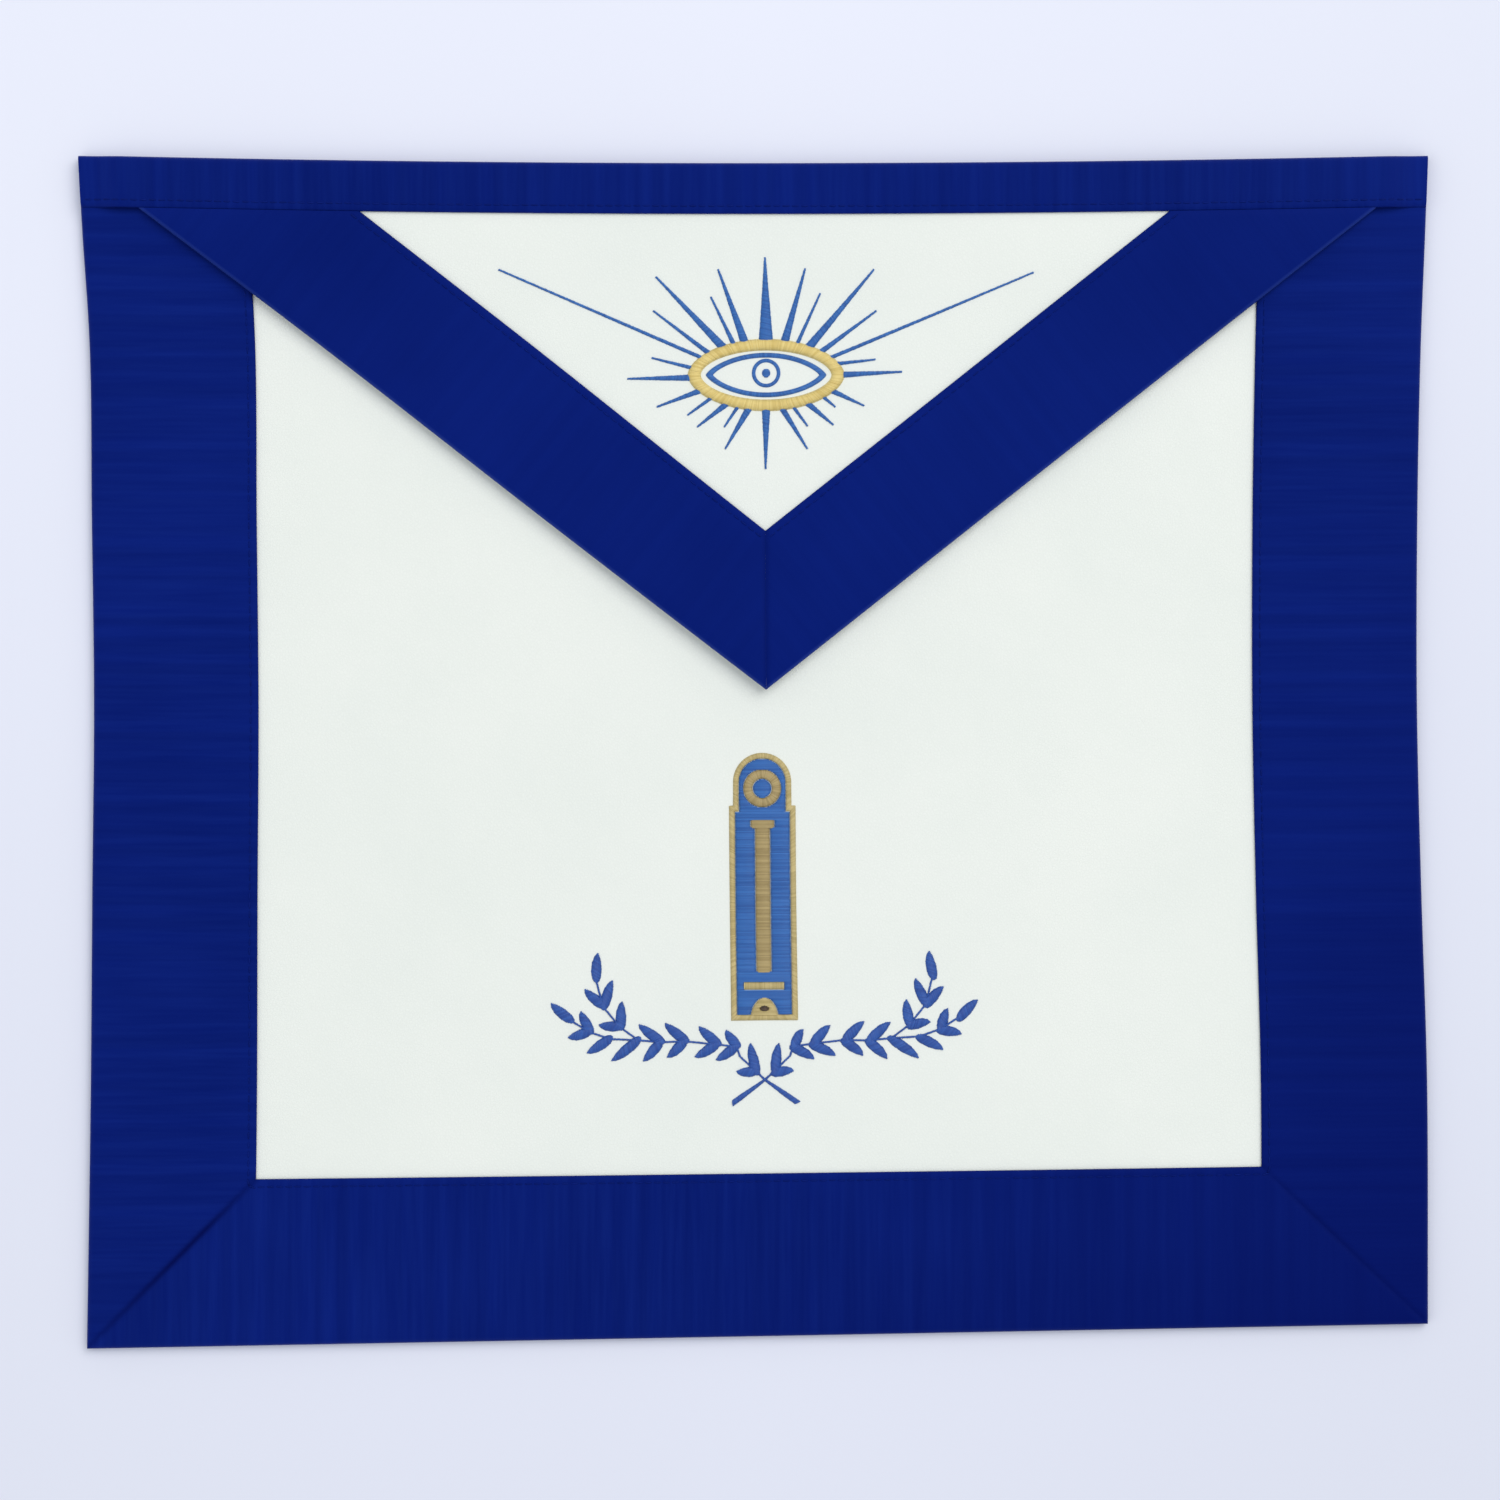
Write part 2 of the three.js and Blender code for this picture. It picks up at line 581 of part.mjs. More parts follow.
function eyePieces() {
  const { reach, middle } = eyePlace();
  const under = FLAP_UNDER + LEATHER + GAP;
  const rim = [EYE.rimWide * reach, EYE.rimHigh * reach];
  const band = EYE.rimBand * reach;
  const at = (across, up) => new THREE.Vector2(middle.x + across * reach, middle.y + up * reach);
  const padding = ovalRing(middle, rim[0] - band / 4, rim[1] - band / 4, band / 2, RIM_SHARP);
  const rays = RAYS.map((ray) => {
    const turn = THREE.MathUtils.degToRad(ray.foot);
    const foot = new THREE.Vector2(
      middle.x + (rim[0] - band / 2) * Math.cos(turn),
      middle.y + (rim[1] - band / 2) * Math.sin(turn),
    );
    return spike(foot, at(ray.across, ray.up), ray.wide * reach, RAY_TIP);
  });
  const lidBand = EYE.lidBand * reach;
  const iris = EYE.iris * reach;
  const irisMiddle = middle.clone();
  irisMiddle.y += EYE.lidHigh * reach - lidBand - GAP - iris;
  const round = (radius) => new THREE.Shape(oval(irisMiddle, radius, radius, 1, 20));
  return {
    eye_rays: embroider([padding, ...rays], under, flapRise),
    eye_rim: embroider([ovalRing(middle, ...rim, band, RIM_SHARP)], under + THREAD + GAP, flapRise),
    eye_outline: embroider(
      [ovalRing(middle, EYE.lidWide * reach, EYE.lidHigh * reach, lidBand, LID_SHARP)], under, flapRise),
    eye_iris: embroider([ovalRing(irisMiddle, iris, iris, EYE.irisBand * reach, 1, 20)], under, flapRise),
    eye_pupil: embroider([round(EYE.pupil * reach)], under, flapRise),
  };
}

/** The height that the plumb rule and the sprigs share, and the foot of both. */
function rulePlace() {
  const foot = BORDER - HALF_HEIGHT + SPRIG_FOOT_MARGIN;
  return { foot, high: FLAP_POINT - RULE_TOP_MARGIN - foot };
}

/** Outline of the plumb rule, drawn in by a distance: a round-topped head on a slightly wider body. */
function ruleOutline(at, high, inset) {
  const radius = RULE.headRadius * high - inset;
  const half = RULE.halfWide * high - inset;
  const middle = at(0, 1 - RULE.headRadius);
  const low = at(0, RULE.foot).y + inset;
  const shoulder = at(0, RULE.shoulder).y - inset;
  const arc = [];
  const steps = 18;
  for (let k = 0; k <= steps; k += 1) {
    const turn = (Math.PI * k) / steps;
    arc.push(new THREE.Vector2(middle.x + radius * Math.cos(turn), middle.y + radius * Math.sin(turn)));
  }
  return [
    new THREE.Vector2(middle.x - half, low),
    new THREE.Vector2(middle.x + half, low),
    new THREE.Vector2(middle.x + half, shoulder),
    new THREE.Vector2(middle.x + radius, shoulder),
    ...arc,
    new THREE.Vector2(middle.x - radius, shoulder),
    new THREE.Vector2(middle.x - half, shoulder),
  ];
}

function rulePieces() {
  const { foot, high } = rulePlace();
  const under = LEATHER + GAP;
  const at = (across, up) => new THREE.Vector2(RULE_SHIFT + across * high, foot + up * high);
  const band = RULE.band * high;
  const ring = at(0, RULE.ringMiddle);
  const box = (halfWide, low, top, grow = 0) => [
    at(-halfWide, low).add(new THREE.Vector2(-grow, -grow)),
    at(halfWide, low).add(new THREE.Vector2(grow, -grow)),
    at(halfWide, top).add(new THREE.Vector2(grow, grow)),
    at(-halfWide, top).add(new THREE.Vector2(-grow, grow)),
  ];
  const line = (grow) => {
    const [a, b, c, d] = box(RULE.lineHalfWide, RULE.lineFoot, RULE.lineTop - RULE.capHigh, grow);
    const [e, f, g, h] = box(RULE.capHalfWide, RULE.lineTop - RULE.capHigh, RULE.lineTop, grow);
    const step = e.y;
    return [a, b, new THREE.Vector2(c.x, step), f, g, h, e, new THREE.Vector2(d.x, step)];
  };
  const bar = (grow) => box(
    RULE.barHalfWide, RULE.barMiddle - RULE.barHigh / 2, RULE.barMiddle + RULE.barHigh / 2, grow);
  const archSpan = RULE.archTop - RULE.foot;
  const arch = (grow, floor) => {
    const points = [];
    const steps = 10;
    for (let k = 0; k <= steps; k += 1) {
      const turn = (Math.PI * k) / steps;
      const point = at(RULE.archHalfWide * Math.cos(turn), RULE.foot + archSpan * Math.sin(turn));
      const out = new THREE.Vector2(Math.cos(turn), Math.sin(turn)).multiplyScalar(grow);
      point.add(out);
      point.y = Math.max(point.y, floor);
      points.push(point);
    }
    return points;
  };
  const bob = (grow) => oval(
    at(0, RULE.bobMiddle), RULE.bobHalfWide * high + grow, RULE.bobHalfHigh * high + grow, 1, 14);

  const frame = new THREE.Shape(ruleOutline(at, high, 0));
  frame.holes.push(new THREE.Path(ruleOutline(at, high, band)));
  const archShape = new THREE.Shape(arch(0, at(0, RULE.foot).y));
  archShape.holes.push(new THREE.Path(bob(GAP)));

  // The blue filling keeps the clearance to everything gold, and its lower edge steps over the arch
  const inner = ruleOutline(at, high, band + GAP);
  const floor = inner[0].y;
  const overArch = arch(GAP, floor).filter((point) => point.y > floor);
  const filling = new THREE.Shape([inner[0], ...overArch.reverse(), ...inner.slice(1)]);
  filling.holes.push(new THREE.Path(oval(ring, RULE.ringOuter * high + GAP, RULE.ringOuter * high + GAP)));
  filling.holes.push(new THREE.Path(line(GAP)));
  filling.holes.push(new THREE.Path(bar(GAP)));

  const ringBand = (RULE.ringOuter - RULE.ringInner) * high;
  const bossRadius = RULE.ringInner * high - GAP;
  return {
    plumb_frame: embroider([frame, archShape], under),
    plumb_field: embroider([filling], under),
    plumb_ring: embroider([ovalRing(ring, RULE.ringOuter * high, RULE.ringOuter * high, ringBand, 1)], under),
    plumb_boss: embroider([new THREE.Shape(oval(ring, bossRadius, bossRadius, 1, 20))], under),
    plumb_line: embroider([new THREE.Shape(line(0))], under),
    plumb_bar: embroider([new THREE.Shape(bar(0))], under),
    plumb_bob: embroider([new THREE.Shape(bob(0))], under),
  };
}

/** Both sprigs cross at their feet, so they are one body. */
function sprigs() {
  const { foot, high } = rulePlace();
  const shapes = [];
  for (const side of [-1, 1]) {
    const at = (out, up) => new THREE.Vector2(RULE_SHIFT + side * out * high, foot + up * high);
    for (const line of [STEM, TWIG]) {
      shapes.push(strip(line.map((point) => at(point.out, point.up)), STEM_WIDE * high));
    }
    for (const row of LEAVES) {
      shapes.push(leaf(at(row.out, row.up), at(row.tipOut, row.tipUp), LEAF_WIDE * high));
    }
  }
  return embroider(shapes, LEATHER + GAP);
}

// Materials

const finish = (color, roughness) => new THREE.MeshStandardMaterial({ color, roughness, metalness: 0 });
const whiteLeather = finish(0xe9eeea, 0.55);
const blueRibbon = finish(0x0b1e73, 0.62);
const blueThread = finish(0x2f5fb4, 0.5);
const goldThread = finish(0xdcc063, 0.5);
const dullGoldThread = finish(0xb0985f, 0.55);
const darkThread = finish(0x4a3b32, 0.6);

// Assembly

const apron = new THREE.Group();
function add(name, geometry, material) {
  const mesh = new THREE.Mesh(geometry, material.clone());
  mesh.name = name;
  apron.add(mesh);
}

add('body_panel', bodyPanel(), whiteLeather);
add('border_left', borderSide(-1), blueRibbon);
add('border_right', borderSide(1), blueRibbon);
add('border_bottom', borderBottom(), blueRibbon);
add('flap_panel', flapPanel(), whiteLeather);
add('flap_border_left', flapBorder(-1), blueRibbon);
add('flap_border_right', flapBorder(1), blueRibbon);
add('waist_band', waistBand(), blueRibbon);

const threads = {
  eye_rays: blueThread,
  eye_rim: goldThread,
  eye_outline: blueThread,
  eye_iris: blueThread,
  eye_pupil: blueThread,
  plumb_frame: dullGoldThread,
  plumb_field: blueThread,
  plumb_ring: dullGoldThread,
  plumb_boss: blueThread,
  plumb_line: dullGoldThread,
  plumb_bar: dullGoldThread,
  plumb_bob: darkThread,
};
for (const [name, geometry] of Object.entries({ ...eyePieces(), ...rulePieces() })) {
  add(name, geometry, threads[name]);
}
add('sprigs', sprigs(), blueThread);

export default apron;
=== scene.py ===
import math

import bmesh
import bpy
import numpy as np
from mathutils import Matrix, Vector


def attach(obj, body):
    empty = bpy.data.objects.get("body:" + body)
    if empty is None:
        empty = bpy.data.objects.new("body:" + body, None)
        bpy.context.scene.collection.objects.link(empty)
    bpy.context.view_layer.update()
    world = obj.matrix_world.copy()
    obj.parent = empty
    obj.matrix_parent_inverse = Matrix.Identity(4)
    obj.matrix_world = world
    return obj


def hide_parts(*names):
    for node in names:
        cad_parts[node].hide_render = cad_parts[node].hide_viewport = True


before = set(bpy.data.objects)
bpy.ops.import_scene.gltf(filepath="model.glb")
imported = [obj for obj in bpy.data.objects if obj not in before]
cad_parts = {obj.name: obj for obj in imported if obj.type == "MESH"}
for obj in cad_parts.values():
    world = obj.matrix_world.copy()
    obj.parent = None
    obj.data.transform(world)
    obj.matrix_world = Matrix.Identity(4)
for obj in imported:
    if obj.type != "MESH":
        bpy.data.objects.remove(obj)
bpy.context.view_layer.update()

# Sizes in millimetres, in the frame's axes: +X right, +Y to the waist edge, +Z up
MM = 0.001
WIDTH = 406.4
HEIGHT = 359.0
SIDE_WAIST = 4.8  # how far the sides draw in between the corners
WAIST_SAG = 2.4
HEM_RISE = 7.5
HEM_CURVE = 2.6  # power by which that rise comes in downwards
BORDER = 50.5
BAND = 15.6
FLAP_BORDER = 38.0
HEM = 10.0
FLAP_DROP = 159.8
FLAP_LIFT = 1.2
FLAP_SHIFT = 3.3  # how far right of the middle the flap lies
FLAP_HOLD = 0.65  # share of that shift which the flap's outer corners don't take part in
FLAP_SPREAD = 3.1  # how much further out both of those corners are
BAND_SINK_SHARE = 0.75  # where the band lies down, as a share of the way from the flap to its end
FLAP_BLUNT = 2.0
LEATHER = 1.2
RIBBON = 1.0
GAP = 0.3
SETTLE_START = 18.0
SETTLE_RUN = 30.0

# Cloth detail
RIB = 1.75  # pitch of the ribbon's ribs
RIB_HIGH = 0.055
RIB_STRAY = (0.22, 5.3)  # how far ribs stray from their even pitch, and over what length
RIB_SHARES = (0.78, 0.14, 0.08)  # of that height: in all, more for every second rib, and in a slow change
RIB_CHANGE = (3.7, 23)  # lengths of this change
FLAP_RIBS = 0.5  # share of that height on the flap
RIB_PARTS = 4  # sections for each rib
LINE_RIBS = 4  # ribs from one darker line to the next: partly the weave, partly painted shade of the ribs
LINE_DARK = 0.8  # how dark these are, as a share of a ribbon's lines
SEAM = 0.02  # between two sewn edges
SEAM_SINK = 0.3
SEAM_RUN = 0.9
SEAM_LOOPS = (0.3, 0.7, 1.2, 1.8, 2.6)  # how far from a seam its groove is followed
# Painted shade along the lower mitres: how strong it is at shares of the way from the lower corner in
MITRE_SHARES = (0, 0.2, 0.5, 0.7, 0.9, 1)  # of the way from the lower corner in
MITRE_SHADE_LEVELS = (0.3, 0.55, 1, 1, 0.45, 0.35)
UNDERLAP = 13.4  # how far the side ribbons run on under the waist band
BAND_SHORT = 0.4  # how far the band's ends stay behind the rolled edges of the side ribbons
BAND_PRESS = 0.35  # how much its sewn edge is pressed down where it lies on them
BAND_PRESS_RUN = 1.0
STITCH_MARGIN = 2.3  # from a ribbon's sewn edge
STITCH_LONG = 2.1
STITCH_PITCH = 2.8
STITCH_THICK = 0.42
STITCH_RISE = 0.12
STITCH_DIP = 0.1  # how far under the ribbon's face its ends go in
STITCH_JITTER = (0.06, 0.05)  # along the seam and across it
SATIN_PITCH = 0.36  # between neighbouring satin stitches
SATIN_THICK = 0.46
SATIN_SLANT = 0.25
SATIN_JITTER = 0.05
FIELD_JITTER = 0.04
SATIN_LEAST = 0.15  # a shorter stitch is left out
LEATHER_SPACING = 3.0  # of the panel's points
FLAP_ROWS = 72
FLAP_COLUMNS = 121
LEATHER_SHARP = 50  # degrees at which an edge stays crisp
RIBBON_SHARP = 60
ROUND_STEPS = 40
HEAD_STEPS = 45

# Slow waves of the leather: lengths across and up, where a wave starts, and its share of the height
WAVE_HIGH = 0.35
WAVES = [
    (31, 47, 0.6, 1),
    (-63, 26, 2.1, 1),
    (19, -23, 4.4, 0.4),
]

# A ribbon's sewn edge and its row of stitches: how far in, how far under its face, and how much is ribbed
SEWN_EDGE = [
    (0, 0.6, 0),
    (0.12, 0.36, 0.5),
    (0.45, 0.16, 0.9),
    (STITCH_MARGIN - 0.7, 0.02, 1),
    (STITCH_MARGIN, 0.1, 0.7),
    (STITCH_MARGIN + 0.8, 0, 1),
]
BORDER_COLUMNS = 10  # from there out to the folded edge
FLAP_BORDER_COLUMNS = 9
BAND_COLUMNS = 5
UNDERSIDE_COLUMNS = 5

# A ribbon's folded edge
FOLD_DEPTH = 1.7  # from the edge in to the flat of its face
FOLD_POWERS = (0.7, 0.8)  # they flatten the roll, upward and outward
FOLD_STEPS = 8
FOLD_INSIDE = 2.3  # the same depth under its face
FOLD_INSIDE_ROUND = 0.9
FOLD_INSIDE_STEPS = 4
# How much lighter a ribbon's fold is made: partly wear, partly a painted highlight
FOLD_WEAR_AND_HIGHLIGHT = 0.4
TURN_DEPTH = 1.1  # of the flap's turned-down edge
TURN_LEAN = 0.1
TURN_STEPS = 4

# Clearances of the embroidery
EYE_TOP_MARGIN = 13.2
EYE_POINT_MARGIN = 19.0
EYE_SIDE_MARGIN = 21.0
RULE_TOP_MARGIN = 19.2
SPRIG_FOOT_MARGIN = 21.6
RULE_SHIFT = 1.9  # how far right both are sewn

# Layers over the underside of the body panel
TURN_IN = RIBBON + GAP
BORDER_UNDER = LEATHER + GAP
FLAP_UNDER = BORDER_UNDER + RIBBON + GAP
FLAP_RIBBON_UNDER = FLAP_UNDER + LEATHER + GAP
FLAP_RIBBON_TOP = FLAP_RIBBON_UNDER + RIBBON
BORDER_TOP = BORDER_UNDER + RIBBON
FLAP_TOP = FLAP_UNDER + LEATHER

# Places of the flat pattern
HALF_WIDTH = WIDTH / 2
HALF_HEIGHT = HEIGHT / 2
BAND_EDGE = HALF_HEIGHT - BAND
FLAP_POINT = HALF_HEIGHT - FLAP_DROP
FLAP_SLOPE = math.atan2(FLAP_DROP, HALF_WIDTH)
FLAP_SIN = math.sin(FLAP_SLOPE)
FLAP_COS = math.cos(FLAP_SLOPE)
FLAP_TAN = math.tan(FLAP_SLOPE)
FLAP_INNER_POINT = FLAP_POINT + FLAP_BORDER / FLAP_COS
FLAP_CORNER = (BAND_EDGE - FLAP_POINT) / FLAP_TAN
BAND_HIGH = FLAP_CORNER + FLAP_SHIFT + FLAP_SPREAD
BAND_SUNK = BAND_HIGH + (HALF_WIDTH - BAND_HIGH) * BAND_SINK_SHARE

# The photograph: square, taken from straight above
PHOTO_PIXELS = 1500
PIXEL = 0.301  # millimetres on the apron
APRON_MIDDLE = (753.0, 752.5)
LENS = 85.0
SENSOR = 36.0

# Studio, in metres
FLOOR_REACH = 3.0
SKY = (0.93, 0.95, 1.0, 1.0)
SKY_STRENGTH = 0.603

# How the outline leaves the rectangle, as shares of SIDE_WAIST: share of the way down, left, right
SIDE_ROWS = np.array([
    (0, 0, 0),
    (0.06, 0.25, 0.16),
    (0.16, 0.73, 0.45),
    (0.3, 0.86, 0.66),
    (0.46, 1, 0.69),
    (0.62, 0.89, 0.42),
    (0.78, 0.8, 0.06),
    (1, 0.56, 0),
])

# Rays of the eye: tip across and up, foot in degrees round the rim, and width. The longest reach is 1.
RAYS = [
    (1.0, 0.377, 32, 0.015), (0.413, 0.238, 44, 0.022), (0.405, 0.391, 56, 0.034),
    (0.204, 0.303, 66, 0.016), (0.149, 0.395, 76, 0.034), (0, 0.436, 90, 0.058),
    (-0.175, 0.392, 106, 0.034), (-0.204, 0.29, 115, 0.019), (-0.407, 0.364, 124, 0.034),
    (-0.42, 0.238, 139, 0.02), (-0.993, 0.388, 148, 0.015), (-0.428, 0.063, 168, 0.016),
    (-0.52, -0.015, 185, 0.026), (-0.409, -0.119, 209, 0.023), (-0.294, -0.149, 224, 0.016),
    (-0.257, -0.193, 240, 0.026), (-0.156, -0.193, 249, 0.016), (-0.152, -0.275, 258, 0.03),
    (0, -0.349, 270, 0.035), (0.156, -0.275, 281, 0.026), (0.156, -0.19, 290, 0.016),
    (0.253, -0.186, 302, 0.026), (0.26, -0.119, 319, 0.016), (0.368, -0.115, 331, 0.023),
    (0.509, 0.011, 0, 0.026), (0.409, 0.057, 21, 0.016),
]
EYE = dict(
    top=0.436, drop=0.785,
    rim_wide=0.2955, rim_high=0.1357, rim_band=0.0446,
    lid_wide=0.227, lid_high=0.0836, lid_band=0.0186,
    iris=0.054, iris_band=0.014, pupil=0.016,
)
RIM_SHARP = 1.12
LID_SHARP = 1.5
RAY_TIP = 0.6
RAY_TAPER = 0.9

# The plumb rule, as shares of the height from the sprigs' feet to the rule's top
RULE = dict(
    head_radius=0.083, half_wide=0.0945, shoulder=0.85, foot=0.238, band=0.0165,
    ring_middle=0.899, ring_outer=0.054, ring_inner=0.0275,
    line_top=0.81, line_foot=0.377, line_half_wide=0.0215,
    cap_half_wide=0.034, cap_high=0.023,
    bar_middle=0.337, bar_high=0.022, bar_half_wide=0.0555,
    arch_top=0.303, arch_half_wide=0.04,
    bob_middle=0.272, bob_half_wide=0.0142, bob_half_high=0.0085,
)

# Half width of the stitches across a stem, in millimetres: at its cut foot and further up
STEM_FOOT_HALF = 0.85
STEM_HALF = 0.3
STEM_TAPER = (0.04, 0.18)  # shares of the way up between which it narrows
BOB_TUCK = 0.25  # how far the arch's stitches run in under the bob
FIELD_MARGIN = 0.2  # between the blue field's stitches and the frame's
BOSS_MARGIN = 0.08

# One sprig, outward from the middle and up from its foot, as shares of the same height
LEAF_WIDE = 0.028
STEM = [
    (-0.091, 0.002), (0, 0.068), (0.023, 0.09), (0.071, 0.136),
    (0.079, 0.163), (0.133, 0.17), (0.224, 0.18), (0.293, 0.178),
    (0.357, 0.184), (0.436, 0.188), (0.494, 0.208), (0.551, 0.243),
]
TWIG = [(0.357, 0.184), (0.408, 0.221), (0.456, 0.28), (0.477, 0.362)]
# Leaves: foot out and up, tip out and up
LEAVES = [
    (0.026, 0.09, 0.04, 0.171), (0.023, 0.09, 0.079, 0.093),
    (0.079, 0.163, 0.108, 0.21), (0.079, 0.163, 0.137, 0.127),
    (0.133, 0.17, 0.184, 0.221), (0.133, 0.17, 0.197, 0.136),
    (0.224, 0.18, 0.28, 0.231), (0.224, 0.18, 0.275, 0.136),
    (0.293, 0.178, 0.354, 0.228), (0.293, 0.178, 0.343, 0.126),
    (0.357, 0.184, 0.432, 0.127), (0.408, 0.221, 0.402, 0.293),
    (0.408, 0.221, 0.467, 0.229), (0.456, 0.28, 0.429, 0.353),
    (0.456, 0.28, 0.506, 0.329), (0.477, 0.358, 0.469, 0.431),
    (0.436, 0.188, 0.501, 0.15), (0.494, 0.208, 0.518, 0.266),
    (0.494, 0.208, 0.554, 0.194), (0.548, 0.24, 0.602, 0.29),
]
LEAF_TAIL = 0.08
LEAF_SHARES = [-LEAF_TAIL, 0.0, 0.2, 0.55, 0.85, 1.0]
LEAF_HALVES = [0.2, 0.4, 0.54, 0.53, 0.32, 0.08]
STEM_SLANT = 0.6
LEAF_SLANT = 0.5

random = np.random.default_rng(1721)


# Pattern

def smoothstep(x, low, high):
    t = np.clip((x - low) / (high - low), 0, 1)
    return t * t * (3 - 2 * t)


def from_edge(u, v):
    return np.minimum(HALF_WIDTH - np.abs(u), HALF_HEIGHT - np.abs(v))


def settle(u, v):
    """Height of the body panel's underside over the surface it lies on."""
    return TURN_IN * (1 - smoothstep(from_edge(u, v), SETTLE_START, SETTLE_START + SETTLE_RUN))


def waves(u, v):
    """Slow waves of the leather, which every layer over it follows; they die out towards the edges."""
    swell = sum(share * np.sin(u / across + v / up + start) for across, up, start, share in WAVES)
    share = 0.5 + 0.2 * swell  # stays between 0 and 1
    return WAVE_HIGH * share * smoothstep(from_edge(u, v), 0, SETTLE_START + SETTLE_RUN)


def flap_rise(u, v):
    """How much more the flap stands off towards its point."""
    down = np.clip((HALF_HEIGHT - v) / FLAP_DROP, 0, 1)
    return FLAP_LIFT * down * down


def band_sink(u, v):
    """How far the waist band comes down past the flap's corners, onto the side ribbons."""
    edge = 1 - smoothstep(v - BAND_EDGE, 0, BAND_PRESS_RUN)
    sink = BORDER_TOP + SEAM - FLAP_RIBBON_UNDER - BAND_PRESS * edge
    return sink * smoothstep(np.abs(u), BAND_HIGH, BAND_SUNK)


def no_rise(u, v):
    return 0 * u


def layer(height, rise=no_rise):
    """How high a layer over the panel is, as a function of the place."""
    return lambda u, v: height + settle(u, v) + waves(u, v) + rise(u, v)


def flap_across(u, v):
    """Where the flap lies across, over the middle of the panel or beside it."""
    inward = (v - FLAP_POINT) * FLAP_COS - np.abs(u) * FLAP_SIN
    outer = np.clip(1 - inward / FLAP_BORDER, 0, 1)
    up = np.clip((v - FLAP_POINT) / (BAND_EDGE - FLAP_POINT), 0, 1)
    return u + FLAP_SHIFT * (1 - FLAP_HOLD * outer * up) + FLAP_SPREAD * outer * (u / FLAP_CORNER)


def through(column, x):
    """A smooth curve through one column of SIDE_ROWS."""
    knots = SIDE_ROWS[:, 0]
    values = SIDE_ROWS[:, column]
    slopes = np.diff(values) / np.diff(knots)
    tangents = np.concatenate([slopes[:1], (slopes[1:] + slopes[:-1]) / 2, slopes[-1:]])
    i = np.clip(np.searchsorted(knots, x) - 1, 0, len(knots) - 2)
    run = knots[i + 1] - knots[i]
    t = (x - knots[i]) / run
    return (
        values[i] * (1 + 2 * t) * (1 - t) ** 2
        + tangents[i] * run * t * (1 - t) ** 2
        + values[i + 1] * t * t * (3 - 2 * t)
        + tangents[i + 1] * run * t * t * (t - 1)
    )


def draw_in(u, v, z):
    """Points of the flat pattern, drawn in to the apron's real outline, in metres."""
    right = np.clip(u / WIDTH + 0.5, 0, 1)
    down = np.clip(0.5 - v / HEIGHT, 0, 1)
    sag = WAIST_SAG * 4 * right * (1 - right) * (1 - down)
    x = u + SIDE_WAIST * (through(1, down) * (1 - right) - through(2, down) * right)
    y = v - sag + HEM_RISE * right * down ** HEM_CURVE
    return np.stack([x, y, z], axis=-1) * MM


# Meshes

def write_points(mesh, name, values):
    """A named value at each point of a mesh."""
    if name not in mesh.attributes:
        mesh.attributes.new(name, "FLOAT", "POINT")
    mesh.attributes[name].data.foreach_set("value", np.ascontiguousarray(values, dtype=np.float32))


def add_object(name, data):
    thing = bpy.data.objects.new(name, data)
    bpy.context.collection.objects.link(thing)
    return thing


def new_object(name, points, faces, material, shades=None):
    """A smooth object at the origin, with a shade for each point where shades are given."""
    mesh = bpy.data.meshes.new(name)
    mesh.from_pydata(points.reshape(-1, 3).tolist(), [], faces)
    if shades is not None:
        write_points(mesh, "shade", shades)
    return finish_mesh(add_object(name, mesh), material)


def finish_mesh(piece, material):
    mesh = piece.data
    shape = bmesh.new()
    shape.from_mesh(mesh)
    bmesh.ops.recalc_face_normals(shape, faces=shape.faces)
    shape.to_mesh(mesh)
    shape.free()
    mesh.materials.append(material)
    mesh.shade_smooth()
    return piece


def mark_sharp(piece, degrees):
    """Keeps a piece's corners crisp where it turns by more than an angle."""
    shape = bmesh.new()
    shape.from_mesh(piece.data)
    for edge in shape.edges:
        if len(edge.link_faces) == 2 and edge.calc_face_angle() > math.radians(degrees):
            edge.smooth = False
    shape.to_mesh(piece.data)
    shape.free()


def tube_faces(rings, sides):
    """Faces between rings of points, and one over each end."""
    faces = []
    for i in range(rings - 1):
        for j in range(sides):
            a = i * sides + j
            b = i * sides + (j + 1) % sides
            faces.append((a, b, b + sides, a + sides))
    faces.append(tuple(range(sides)))
    faces.append(tuple(range((rings - 1) * sides, rings * sides)))
    return faces


def grid_faces(rows, columns, offset=0):
    a = (np.arange(rows - 1)[:, None] * columns + np.arange(columns - 1)[None, :]).reshape(-1) + offset
    return np.stack([a, a + 1, a + columns + 1, a + columns], axis=1).tolist()


def sheet_mesh(name, u, v, under, rise=no_rise):
    """A sheet of leather over a grid of pattern places."""
    rows, columns = u.shape
    z = layer(under, rise)(u, v)
    bottom = draw_in(u, v, z)
    top = draw_in(u, v, z + LEATHER)
    lift = rows * columns
    faces = grid_faces(rows, columns) + grid_faces(rows, columns, lift)
    grid = np.arange(lift).reshape(rows, columns)
    rim = np.concatenate([grid[0], grid[1:, -1], grid[-1, -2::-1], grid[-2:0:-1, 0]]).tolist()
    for a, b in zip(rim, rim[1:] + rim[:1]):
        faces.append([a, b, b + lift, a + lift])
    piece = new_object(name, np.concatenate([bottom.reshape(-1, 3), top.reshape(-1, 3)]), faces, WHITE)
    mark_sharp(piece, LEATHER_SHARP)
    return piece


def rib_turn(along):
    """Where a place along a ribbon is in its run of ribs: a whole turn for each rib."""
    far, length = RIB_STRAY
    return 2 * math.pi * (along + far * np.sin(along / length)) / RIB


def rib_height(along):
    """The weave's ribs along a ribbon: every second one is a little prouder, and no two are quite alike."""
    turn = rib_turn(along)
    level, second, slow = RIB_SHARES
    short, long = RIB_CHANGE
    uneven = level + second * np.cos(turn / 2) + slow * np.sin(along / short + np.sin(along / long))
    return RIB_HIGH * (0.5 + 0.5 * np.cos(turn)) * uneven


